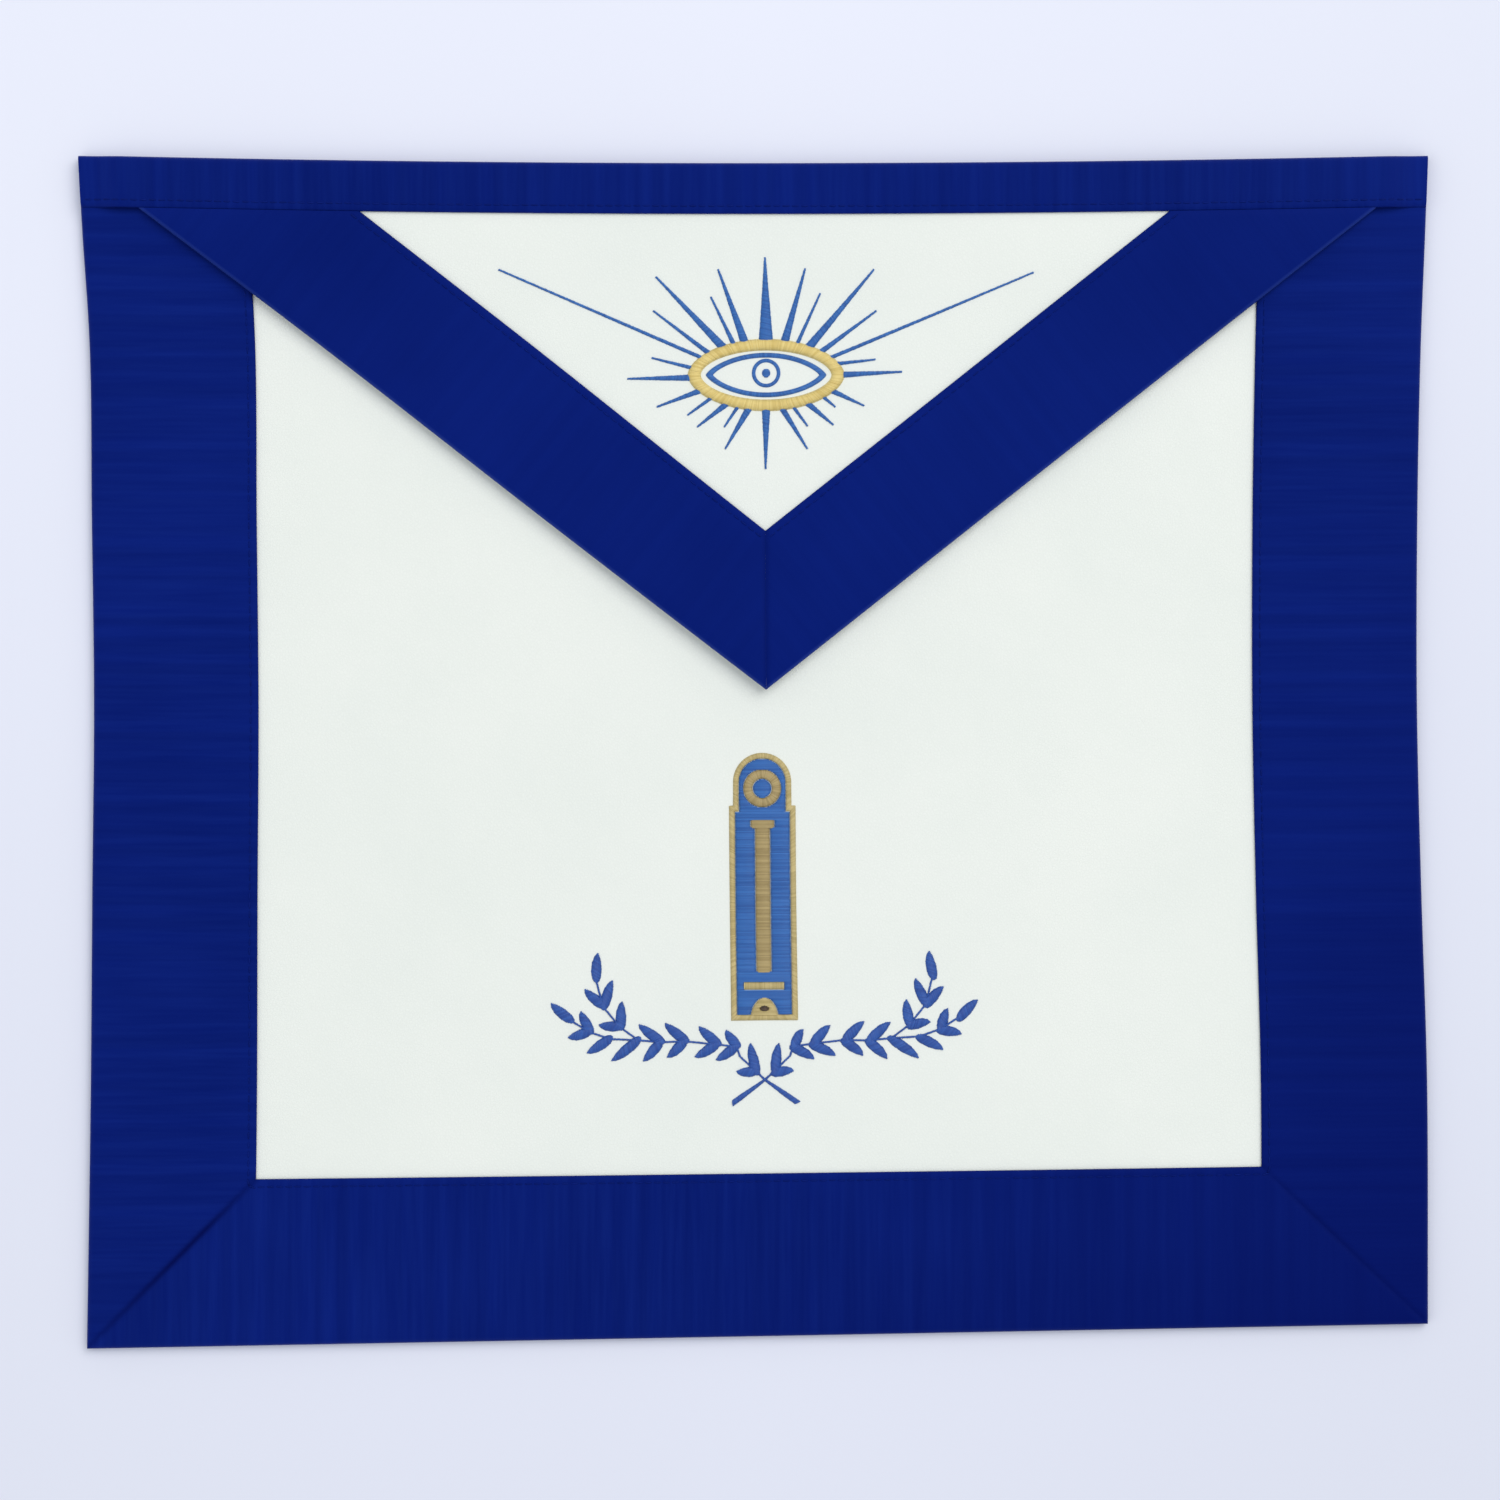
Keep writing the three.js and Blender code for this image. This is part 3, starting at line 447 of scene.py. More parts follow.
class Profile:
    """Points across a ribbon: in from its outer edge, height, and how much it rides, is ribbed and is
    lightened, for wear and as a painted highlight.
    """

    def __init__(self):
        self.rows = []

    def add(self, inward, z, rides=1.0, ribbed=0.0, wear_and_highlight=0.0):
        self.rows.append((inward, z, rides, ribbed, wear_and_highlight))

    def columns(self):
        return np.array(self.rows).T


def fold_turns(steps):
    return [math.pi / 2 * (1 - 2 * k / steps) for k in range(steps + 1)]


def front_leaf(profile, inner, outer, top, columns):
    """The ribbed face of a ribbon, from its sewn edge out to the start of its fold."""
    for back, under, ribbed in SEWN_EDGE:
        profile.add(inner - back, top - under, ribbed=ribbed)
    flat = inner - SEWN_EDGE[-1][0]
    for k in range(1, columns):
        share = k / columns
        profile.add(flat * (1 - share) + outer * share, top, ribbed=1)


def folded_profile(inner, top, under, hem, columns):
    """Front leaf, rolled outer edge and the leaf behind."""
    profile = Profile()
    roll = (top + TURN_IN) / 2
    upward, outward = FOLD_POWERS
    front_leaf(profile, inner, FOLD_DEPTH, top, columns)
    for turn in fold_turns(FOLD_STEPS):
        up = math.sin(turn)
        share = 0.5 + 0.5 * up
        z = roll * (1 + math.copysign(abs(up) ** upward, up)) - TURN_IN * share
        edge = FOLD_DEPTH * (1 - math.cos(turn) ** outward)
        # the roll is lightened towards its outermost turn, for wear and as a painted highlight
        profile.add(edge, z, share, max(0.0, up), FOLD_WEAR_AND_HIGHLIGHT * math.cos(turn) ** 2)
    profile.add(hem, 0, 0)
    profile.add(hem, RIBBON, 0)
    middle = (under + TURN_IN + RIBBON) / 2
    for turn in reversed(fold_turns(FOLD_INSIDE_STEPS)):
        up = math.sin(turn)
        share = 0.5 + 0.5 * up
        z = middle + (under + TURN_IN - RIBBON) / 2 * up - TURN_IN * share
        profile.add(FOLD_INSIDE - FOLD_INSIDE_ROUND * math.cos(turn), z, share)
    for k in range(1, UNDERSIDE_COLUMNS + 1):
        profile.add(FOLD_INSIDE + (inner - FOLD_INSIDE) * k / UNDERSIDE_COLUMNS, under)
    return profile


def turned_profile(inner, top, low, under, columns):
    """Front leaf and turned-down outer edge."""
    profile = Profile()
    front_leaf(profile, inner, TURN_DEPTH, top, columns)
    for k in range(TURN_STEPS + 1):
        turn = math.pi / 2 * (1 - k / TURN_STEPS)
        edge = TURN_DEPTH * (1 - math.cos(turn))
        # the turned edge is lightened towards its side, for wear and as a painted highlight
        profile.add(edge, top - TURN_DEPTH * (1 - math.sin(turn)), 1, math.sin(turn), math.cos(turn))
    profile.add(0, low)
    profile.add(RIBBON, low)
    profile.add(RIBBON + TURN_LEAN, under)
    for k in range(1, TURN_STEPS + 1):
        profile.add(RIBBON + (inner - RIBBON) * k / TURN_STEPS, under)
    return profile


def mitre_shade(v):
    """How strong the painted shade along a mitre is: most of all midway between the lower corner and the
    white.
    """
    return np.interp((v + HALF_HEIGHT) / BORDER, MITRE_SHARES, MITRE_SHADE_LEVELS)


def cut_plane(shape, point, out, **more):
    everything = shape.verts[:] + shape.edges[:] + shape.faces[:]
    return bmesh.ops.bisect_plane(shape, geom=everything, plane_co=(*point, 0), plane_no=(*out, 0), **more)


def cut_seams(mesh, cuts):
    """Cuts a ribbon off at its seams, closes it there and adds edges that follow each seam."""
    shape = bmesh.new()
    shape.from_mesh(mesh)
    for point, out, _ in cuts:
        result = cut_plane(shape, point, out, clear_outer=True)
        edges = [g for g in result["geom_cut"] if isinstance(g, bmesh.types.BMEdge)]
        if edges:
            bmesh.ops.edgeloop_fill(shape, edges=edges)
    for point, out, _ in cuts:
        for back in SEAM_LOOPS:
            cut_plane(shape, (point[0] - out[0] * back, point[1] - out[1] * back), out)
    shape.to_mesh(mesh)
    shape.free()


def press_seams(mesh, cuts):
    """Presses a groove along each seam, with painted shade along it, and draws the ribbon in to the apron's
    outline.
    """
    flat = np.empty(len(mesh.vertices) * 3)
    mesh.vertices.foreach_get("co", flat)
    flat = flat.reshape(-1, 3)
    front = np.empty(len(flat), dtype=np.float32)
    mesh.attributes["front"].data.foreach_get("value", front)
    # Painted shade along the seams, strongest where the mitres show most
    dark = np.zeros(len(flat))
    for point, out, shade_strength in cuts:
        far = (point - flat[:, :2]) @ out
        near = np.exp(-(np.maximum(far, 0) / SEAM_RUN) ** 2)
        flat[:, 2] -= front * SEAM_SINK * near
        dark = np.maximum(dark, shade_strength * near * mitre_shade(flat[:, 1]))
    write_points(mesh, "painted_seam_shade", dark)
    mesh.vertices.foreach_set("co", draw_in(*flat.T).reshape(-1))


def ribbon_mesh(name, profile, place, start, end, material, rise=no_rise, cuts=(), ribs=1.0):
    """
    Straight sections of a profile along a ribbon, a few for each rib, cut off at its seams. place gives the
    place in the pattern; a cut is a point of a seam, the way out over it and how strong the painted shade
    along its line is.
    """
    inward, base, rides, ribbed, wear_and_highlight = profile.columns()
    sections = int((end - start) / RIB * RIB_PARTS) + 1
    along = np.linspace(start, end, sections)[:, None]
    u, v = place(*np.broadcast_arrays(along, inward))
    z = base + rides * layer(0, rise)(u, v) + ribbed * ribs * rib_height(along)
    points = np.stack([u, v, z], axis=-1).reshape(-1, 3)
    mesh = bpy.data.meshes.new(name)
    mesh.from_pydata(points.tolist(), [], tube_faces(sections, len(inward)))
    write_points(mesh, "shade", np.tile(wear_and_highlight, sections))
    write_points(mesh, "front", np.tile(ribbed, sections))
    # A darker line every few ribs: partly the weave, partly painted shade of the ribs
    write_points(mesh, "line", (ribbed * (0.5 + 0.5 * np.cos(rib_turn(along) / LINE_RIBS))).reshape(-1))
    cut_seams(mesh, cuts)
    press_seams(mesh, cuts)
    piece = finish_mesh(add_object(name, mesh), material)
    mark_sharp(piece, RIBBON_SHARP)
    return piece


# One stitch, from end to end
STRAND_RISE = np.array([-0.12, 0.72, 1.0, 0.72, -0.12])
STRAND_GIRTH = np.array([0.7, 0.95, 1.0, 0.95, 0.7])
STRAND_SIDES = 5
STRAND_SLOPE = 0.7  # length over which it comes up at each end
STRAND_SLOPE_SHARE = 0.2  # the most that this may be of the whole
STRAND_LOW = 0.55  # rise of the shortest stitch, as a share of a long one's
STRAND_GAIN = 0.2  # how much more of it each millimetre of length brings
STRAND_UNEVEN = (0.1, 0.07)  # in rise and in thickness


def jitter(amount, *shape):
    """Random values on both sides of nothing, or one value where no shape is given."""
    return amount * (2 * random.random(shape or None) - 1)


def strands_mesh(name, ends, top, high, thick, material):
    """
    A field of stitches. ends holds a row for each stitch: the two places where it goes in. top gives the
    height of what it is sewn to, high the rise of its middle, and thick the thread's thickness.
    """
    ends = np.array(ends, dtype=float).reshape(-1, 2, 2)
    count = len(ends)
    first = ends[:, 0]
    along = ends[:, 1] - first
    length = np.maximum(np.linalg.norm(along, axis=1, keepdims=True), 1e-6)
    across = np.stack([-along[:, 1], along[:, 0]], axis=1) / length
    slope = np.minimum(STRAND_SLOPE_SHARE, STRAND_SLOPE / length)
    places = np.concatenate([0 * slope, slope, 0 * slope + 0.5, 1 - slope, 0 * slope + 1], axis=1)
    middle = first[:, None, :] + along[:, None, :] * places[:, :, None]
    uneven_rise, uneven_girth = STRAND_UNEVEN
    rise = high * np.minimum(1, STRAND_LOW + length * STRAND_GAIN) * (1 + jitter(uneven_rise, count, 1))
    centre = STRAND_RISE[None, :] * rise
    turns = 2 * math.pi * (np.arange(STRAND_SIDES) + 0.5) / STRAND_SIDES
    radius = thick / 2 * STRAND_GIRTH[None, :, None] * (1 + jitter(uneven_girth, count, 1, 1))
    aside = radius * np.cos(turns)[None, None, :]
    lift = radius * np.sin(turns)[None, None, :]
    u = middle[:, :, None, 0] + across[:, None, None, 0] * aside
    v = middle[:, :, None, 1] + across[:, None, None, 1] * aside
    z = top(u, v) + centre[:, :, None] + lift
    points = draw_in(u, v, z).reshape(-1, 3)
    pattern = tube_faces(len(STRAND_RISE), STRAND_SIDES)
    size = len(STRAND_RISE) * STRAND_SIDES
    faces = [tuple(k * size + corner for corner in face) for k in range(count) for face in pattern]
    shades = np.repeat(random.random(count), size)
    return new_object(name, points, faces, material, shades)


# Stitch fields, as lists of the two ends of each stitch

def reached(line):
    """How far along a line each of its points is."""
    return np.concatenate([[0], np.cumsum(np.linalg.norm(np.diff(line, axis=0), axis=1))])


def places_at(at, knots, line):
    return np.stack([np.interp(at, knots, line[:, k]) for k in (0, 1)], axis=1)


def even_places(line, pitch):
    """Points at an even pitch along a line, each with the line's direction there."""
    line = np.array(line, dtype=float)
    far = reached(line)
    at = np.linspace(0, far[-1], max(2, int(round(far[-1] / pitch)) + 1))
    places = places_at(at, far, line)
    ahead = np.gradient(places, axis=0)
    ahead /= np.maximum(np.linalg.norm(ahead, axis=1, keepdims=True), 1e-9)
    return places, ahead, at / far[-1]


def column_stitches(line, half_wide, slant=SATIN_SLANT):
    """Satin stitches over a line, whose half width is a function of the share of the way along it."""
    places, ahead, shares = even_places(line, SATIN_PITCH)
    ends = []
    for place, way, share in zip(places, ahead, shares):
        side = np.array([-way[1], way[0]]) + slant * way
        reach = half_wide(share)
        one = place + side * (reach + jitter(SATIN_JITTER))
        ends.append((one, place - side * (reach + jitter(SATIN_JITTER))))
    return ends


def ring_stitches(outer, inner):
    """Satin stitches from an outer closed line to an inner one with as many points."""
    outer = np.array(outer + outer[:1])
    inner = np.array(inner + inner[:1])
    far = reached(outer)
    at = np.linspace(0, far[-1], int(far[-1] / SATIN_PITCH), endpoint=False)
    return list(zip(places_at(at, far, outer), places_at(at, far, inner)))


def filled_stitches(low, high, inner, outer):
    """Level stitches between two half widths on both sides of the middle, each a function of the height."""
    ends = []
    for v in np.arange(low, high, SATIN_PITCH):
        a = inner(v)
        b = outer(v)
        if b - a < SATIN_LEAST:
            continue
        if a <= 0:
            ends.append(((-b + jitter(SATIN_JITTER), v), (b + jitter(SATIN_JITTER), v)))
        else:
            for side in (-1, 1):
                ends.append(((side * a, v), (side * (b + jitter(FIELD_JITTER)), v)))
    return ends


def oval(middle, half_wide, half_high, sharp=1.0, steps=96):
    points = []
    for k in range(steps):
        turn = 2 * math.pi * k / steps
        high = math.copysign(abs(math.sin(turn)) ** sharp, math.sin(turn))
        points.append((middle[0] + half_wide * math.cos(turn), middle[1] + half_high * high))
    return points


def circle(middle, radius):
    return oval(middle, radius, radius, 1, ROUND_STEPS)


def chord(radius, off):
    """Half width of a circle at a distance off its middle."""
    return math.sqrt(max(radius ** 2 - off ** 2, 0))


# Materials

class Nodes:
    """A material's node tree, with short ways to add and join nodes."""

    def __init__(self, name):
        self.material = bpy.data.materials.new(name)
        self.material.use_nodes = True
        self.tree = self.material.node_tree
        self.shader = self.tree.nodes["Principled BSDF"]
        self.place = self.add("ShaderNodeTexCoord").outputs["Object"]

    def add(self, kind, settings=(), **inputs):
        node = self.tree.nodes.new(kind)
        for key, value in dict(settings).items():
            setattr(node, key, value)
        self.fill(node, inputs)
        return node

    def fill(self, node, inputs):
        for key, value in inputs.items():
            self.put(node.inputs[key.replace("_", " ")], value)

    def put(self, socket, value):
        if isinstance(value, bpy.types.NodeSocket):
            self.tree.links.new(value, socket)
        else:
            socket.default_value = value

    def noise(self, scale, detail=3.0, rough=0.5, vector=None):
        node = self.add(
            "ShaderNodeTexNoise", Scale=scale, Detail=detail, Roughness=rough, Vector=vector or self.place)
        return node.outputs["Fac"]

    def stretched(self, scale, angle=0.0):
        """Object coordinates turned and then scaled, for grain that runs one way."""
        inverse = tuple(1 / share for share in scale)
        turned = self.add(
            "ShaderNodeMapping", {"vector_type": "TEXTURE"}, Vector=self.place, Rotation=(0, 0, angle),
            Scale=inverse)
        return turned.outputs["Vector"]

    def math(self, operation, a, b=0.0):
        node = self.add("ShaderNodeMath", {"operation": operation})
        self.put(node.inputs[0], a)
        self.put(node.inputs[1], b)
        return node.outputs[0]

    def spread(self, value, low, high, to_low=0.0, to_high=1.0):
        node = self.add(
            "ShaderNodeMapRange", Value=value, From_Min=low, From_Max=high, To_Min=to_low, To_Max=to_high)
        return node.outputs["Result"]

    def mix(self, share, a, b):
        """Mixes two colours, each a node's output or three values of 0 to 255 on screen."""
        node = self.add("ShaderNodeMix", {"data_type": "RGBA"}, Factor=share)
        for k, colour in ((6, a), (7, b)):
            self.put(node.inputs[k], linear(*colour) if isinstance(colour, tuple) else colour)
        return node.outputs[2]

    def bump(self, height, distance, strength, normal=None):
        node = self.add("ShaderNodeBump", Height=height, Distance=distance, Strength=strength)
        if normal is not None:
            self.put(node.inputs["Normal"], normal)
        return node.outputs["Normal"]

    def value(self, name):
        """A named value that the mesh carries at its points."""
        return self.add("ShaderNodeAttribute", {"attribute_name": name}).outputs["Fac"]

    def set(self, **inputs):
        self.fill(self.shader, inputs)


def linear(red, green, blue):
    """A colour of 0 to 255 on screen, as the shader's linear one."""
    def one(value):
        share = value / 255
        return share / 12.92 if share <= 0.04045 else ((share + 0.055) / 1.055) ** 2.4
    return (one(red), one(green), one(blue), 1.0)


def leather_material(name, pale, deep):
    """Smooth white lambskin with a fine pebbled grain and faint clouds."""
    nodes = Nodes(name)
    clouds = nodes.noise(14, 4, 0.6)
    pores = nodes.add(
        "ShaderNodeTexVoronoi", {"feature": "DISTANCE_TO_EDGE"}, Vector=nodes.place, Scale=1100)
    pebbles = nodes.spread(pores.outputs["Distance"], 0.0, 0.25)
    fine = nodes.noise(2600, 2)
    colour = nodes.mix(nodes.spread(clouds, 0.35, 0.65), deep, pale)
    colour = nodes.mix(nodes.spread(pebbles, 0, 1, 0.05, 0.0), colour, (178, 182, 176))
    rough = nodes.spread(nodes.noise(60, 3), 0.3, 0.7, 0.5, 0.64)
    grain = nodes.math("ADD", nodes.math("MULTIPLY", pebbles, 0.7), nodes.math("MULTIPLY", fine, 0.3))
    soft = nodes.bump(nodes.noise(90, 3, 0.55), 0.0005, 0.35)
    nodes.set(Base_Color=colour, Roughness=rough, Normal=nodes.bump(grain, 0.00006, 0.6, soft))
    nodes.set(Specular_IOR_Level=0.35)
    return nodes.material


def ribbon_material(name, angle, lines=0.2):
    """Navy ribbon: ribs, fine warp along it and faint lines across it, these partly the weave and partly
    painted sheen and shade of the ribs; folds lightened for wear and as a painted highlight; painted shade
    along the mitres and towards the lower right.
    """
    nodes = Nodes(name)
    weft = nodes.noise(1, 3, 0.6, nodes.stretched((620, 26, 26), angle))
    warp = nodes.noise(1, 2, 0.5, nodes.stretched((160, 2600, 160), angle))
    bands = nodes.noise(1, 1, 0.5, nodes.stretched((210, 4, 4), angle))
    clouds = nodes.noise(9, 3, 0.6)
    colour = nodes.mix(nodes.spread(clouds, 0.3, 0.7), (2, 19, 98), (6, 27, 114))
    # Lighter and darker streaks across the ribbon: partly the weave's own tone, partly painted sheen and
    # shade of the ribs
    colour = nodes.mix(nodes.spread(weft, 0.35, 0.7, 0.0, lines), colour, (24, 50, 140))
    colour = nodes.mix(nodes.spread(bands, 0.4, 0.6, 0.0, lines), colour, (1, 13, 84))
    dark = nodes.math("MULTIPLY", nodes.value("line"), lines * LINE_DARK)
    colour = nodes.mix(dark, colour, (1, 13, 84))
    # Painted shade: the ribbon gets darker towards the lower right
    sides = nodes.add("ShaderNodeSeparateXYZ", Vector=nodes.place).outputs
    corner = nodes.math("SUBTRACT", sides["X"], nodes.math("MULTIPLY", sides["Y"], 0.8))
    colour = nodes.mix(nodes.spread(corner, 0.1, 0.33, 0.0, 0.75), colour, (0, 7, 82))
    # Folds lightened: partly wear, partly a painted highlight
    colour = nodes.mix(nodes.math("MULTIPLY", nodes.value("shade"), 0.34), colour, (58, 86, 176))
    # Painted shade along the seams
    colour = nodes.mix(nodes.value("painted_seam_shade"), colour, (0, 4, 70))
    rough = nodes.spread(weft, 0.3, 0.7, 0.55, 0.7)
    yarn = nodes.math("ADD", nodes.math("MULTIPLY", warp, 0.6), nodes.math("MULTIPLY", weft, 0.4))
    nodes.set(Base_Color=colour, Roughness=rough, Normal=nodes.bump(yarn, 0.00008, 0.7))
    nodes.set(Sheen_Weight=0.03, Sheen_Roughness=0.4, Sheen_Tint=linear(50, 90, 220))
    nodes.set(Specular_IOR_Level=0.3, Specular_Tint=NAVY_GLINT)
    return nodes.material


def thread_material(name, deep, pale, gloss=0.42, sheen=0.15, glint=(1.0, 1.0, 1.0, 1.0)):
    """Rayon thread: each stitch has its own shade, with fine fibres and a soft gloss."""
    nodes = Nodes(name)
    fibres = nodes.noise(3200, 2, 0.6)
    patches = nodes.noise(160, 2)
    own = nodes.value("shade")
    share = nodes.math("ADD", nodes.math("MULTIPLY", own, 0.65), nodes.math("MULTIPLY", patches, 0.35))
    colour = nodes.mix(share, deep, pale)
    rough = nodes.spread(fibres, 0.3, 0.7, gloss - 0.08, gloss + 0.1)
    nodes.set(Base_Color=colour, Roughness=rough, Normal=nodes.bump(fibres, 0.00004, 0.6))
    nodes.set(Sheen_Weight=sheen, Sheen_Roughness=0.35, Specular_Tint=glint)
    return nodes.material


def floor_material():
    """Plain paper, with painted shade: a little darker towards both sides and the lower right."""
    nodes = Nodes("floor_paper")
    sides = nodes.add("ShaderNodeSeparateXYZ", Vector=nodes.place).outputs
    # Painted shade: darker towards both sides and the lower right
    aside = nodes.math("MULTIPLY", nodes.math("ABSOLUTE", sides["X"]), 0.6)
    across = nodes.math("ADD", nodes.math("MULTIPLY", sides["X"], 0.4), aside)
    toward = nodes.math("SUBTRACT", across, sides["Y"])
    clouds = nodes.spread(nodes.noise(3, 2), 0.3, 0.7)
    light = nodes.mix(clouds, (233, 236, 248), (236, 239, 251))
    colour = nodes.mix(nodes.spread(toward, -0.3, 0.4, 0.0, 0.5), light, (205, 209, 222))
    nodes.set(Base_Color=colour, Roughness=0.9, Specular_IOR_Level=0.1)
    return nodes.material


NAVY_GLINT = (0.08, 0.18, 0.9, 1.0)
WHITE = leather_material("white_leather", (236, 240, 233), (232, 237, 230))
NAVY_ACROSS = ribbon_material("navy_ribbon_sides", math.pi / 2)
NAVY_ALONG = ribbon_material("navy_ribbon_ends", 0.0)
NAVY_FLAP = {
    side: ribbon_material(f"navy_ribbon_flap_{word}", side * FLAP_SLOPE, 0.07)
    for side, word in ((-1, "left"), (1, "right"))
}
NAVY_THREAD = thread_material("navy_thread", (2, 17, 92), (6, 26, 112), 0.55, 0.0, NAVY_GLINT)
BLUE_THREAD = thread_material("blue_thread", (30, 84, 158), (58, 120, 194))
DEEP_BLUE_THREAD = thread_material("deep_blue_thread", (28, 66, 146), (50, 98, 180))
GOLD_THREAD = thread_material("gold_thread", (210, 184, 102), (240, 220, 146))
PALE_GOLD_THREAD = thread_material("pale_gold_thread", (172, 154, 98), (212, 194, 138))
DULL_GOLD_THREAD = thread_material("dull_gold_thread", (146, 126, 80), (192, 172, 120))
DARK_THREAD = thread_material("dark_thread", (60, 44, 34), (92, 72, 56))


def dress(piece, slot, *nodes):
    """The piece rides on the apron's one body and stands for its nodes."""
    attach(piece, "root")
    if nodes:
        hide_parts(*nodes)


# Leather

def body_panel():
    us = np.linspace(-HALF_WIDTH + TURN_IN, HALF_WIDTH - TURN_IN, int(WIDTH / LEATHER_SPACING))
    vs = np.linspace(HALF_HEIGHT - TURN_IN, -HALF_HEIGHT + TURN_IN, int(HEIGHT / LEATHER_SPACING))
    u, v = np.meshgrid(us, vs)
    piece = sheet_mesh("leather_body", u, v, 0)
    dress(piece, "white_leather", "body_panel")


def flap_panel():
    inset = TURN_IN / FLAP_SIN
    point = FLAP_POINT + (FLAP_BLUNT + inset) * FLAP_TAN
    vs = np.linspace(HALF_HEIGHT - TURN_IN, point, FLAP_ROWS)
    half_wide = (np.minimum(vs, BAND_EDGE - GAP) - FLAP_POINT) / FLAP_TAN - inset
    shares = np.linspace(-1, 1, FLAP_COLUMNS)
    v = np.broadcast_to(vs[:, None], (len(vs), len(shares)))
    u = flap_across(half_wide[:, None] * shares[None, :], v)
    piece = sheet_mesh("leather_flap", u, v, FLAP_UNDER, flap_rise)
    dress(piece, "white_leather", "flap_panel")


# Ribbons

DIAGONAL = 1 / math.sqrt(2)
MITRE_PAINTED_SHADE = {-1: 1.0, 1: 0.35}  # painted shade along each lower mitre, left and right
MITRE_POINT = 0.8  # and that at the flap's point
BORDER_PROFILE = folded_profile(BORDER, BORDER_TOP, BORDER_UNDER, HEM, BORDER_COLUMNS)


def mitre_cut(side, way):
    """The cut at a lower corner: way is 1 for the lower ribbon and -1 for the one at the side."""
    corner = (side * (HALF_WIDTH - SEAM / 2), -HALF_HEIGHT + SEAM / 2)
    return corner, (way * side * DIAGONAL, way * DIAGONAL), MITRE_PAINTED_SHADE[side]


def border_side(side, word):
    first = BAND - UNDERLAP
    cuts = [((0, HALF_HEIGHT - first), (0, 1), 0), mitre_cut(side, -1)]
    piece = ribbon_mesh(
        f"ribbon_{word}", BORDER_PROFILE, lambda s, w: (side * (HALF_WIDTH - w), HALF_HEIGHT - s),
        first - 1, HEIGHT, NAVY_ACROSS, cuts=cuts)
    dress(piece, "blue_ribbon", f"border_{word}")


def border_bottom():
    cuts = [mitre_cut(-1, 1), mitre_cut(1, 1)]
    piece = ribbon_mesh(
        "ribbon_bottom", BORDER_PROFILE, lambda s, w: (s, w - HALF_HEIGHT),
        -HALF_WIDTH, HALF_WIDTH, NAVY_ALONG, cuts=cuts)
    dress(piece, "blue_ribbon", "border_bottom")


def flap_place(side, s, w):
    """A place on the flap's ribbon: s up its outer edge from the point, w in from that edge."""
    v = FLAP_POINT + s * FLAP_SIN + w * FLAP_COS
    return flap_across(side * (s * FLAP_COS - w * FLAP_SIN), v), v


def flap_border(side, word):
    profile = turned_profile(
        FLAP_BORDER, FLAP_RIBBON_TOP, FLAP_UNDER, FLAP_RIBBON_UNDER, FLAP_BORDER_COLUMNS)
    edge = BAND_EDGE - SEAM / 2
    reach = (edge - FLAP_POINT) / FLAP_SIN
    cuts = [((0, edge), (0, 1), 0), ((FLAP_SHIFT + side * SEAM / 2, 0), (-side, 0), MITRE_POINT)]
    piece = ribbon_mesh(
        f"ribbon_flap_{word}", profile, lambda s, w: flap_place(side, s, w), 0, reach, NAVY_FLAP[side],
        rise=flap_rise, cuts=cuts, ribs=FLAP_RIBS)
    dress(piece, "blue_ribbon", f"flap_border_{word}")


def waist_band():
    profile = folded_profile(BAND, FLAP_RIBBON_TOP, FLAP_RIBBON_UNDER, BAND, BAND_COLUMNS)
    end = HALF_WIDTH - BAND_SHORT
    piece = ribbon_mesh(
        "ribbon_waist", profile, lambda s, w: (s, HALF_HEIGHT - w),
        -end, end, NAVY_ALONG, rise=band_sink)
    dress(piece, "blue_ribbon", "waist_band")


def seam_stitches(name, lines, top):
    """A row of machine stitches along each line."""
    far, aside = STITCH_JITTER
    ends = []
    for line in lines:
        places, ahead, _ = even_places(line, STITCH_PITCH)
        for place, way in zip(places[1:-1], ahead[1:-1]):
            reach = way * (STITCH_LONG / 2 + jitter(far))
            side = np.array([-way[1], way[0]]) * jitter(aside)
            ends.append((place - reach + side, place + reach + side))
    piece = strands_mesh(name, ends, top, STITCH_RISE, STITCH_THICK, NAVY_THREAD)
    dress(piece, "blue_ribbon")


def ribbon_stitching():
    inner = BORDER - STITCH_MARGIN
    side = HALF_WIDTH - inner
    low = -HALF_HEIGHT + inner
    border_row = [(-side, BAND_EDGE), (-side, low), (side, low), (side, BAND_EDGE)]
    seam_stitches("stitches_border", [border_row], layer(BORDER_TOP - STITCH_DIP))
    w = FLAP_BORDER - STITCH_MARGIN
    first = w * FLAP_TAN
    last = (BAND_EDGE - FLAP_POINT - w * FLAP_COS) / FLAP_SIN
    flap_rows = [[flap_place(turn, first, w), flap_place(turn, last, w)] for turn in (-1, 1)]
    seam_stitches("stitches_flap", flap_rows, layer(FLAP_RIBBON_TOP - STITCH_DIP, flap_rise))
    level = HALF_HEIGHT - (BAND - STITCH_MARGIN)
    band_row = [(-HALF_WIDTH, level), (HALF_WIDTH, level)]
    seam_stitches("stitches_waist", [band_row], layer(FLAP_RIBBON_TOP - STITCH_DIP, band_sink))


# Embroidery

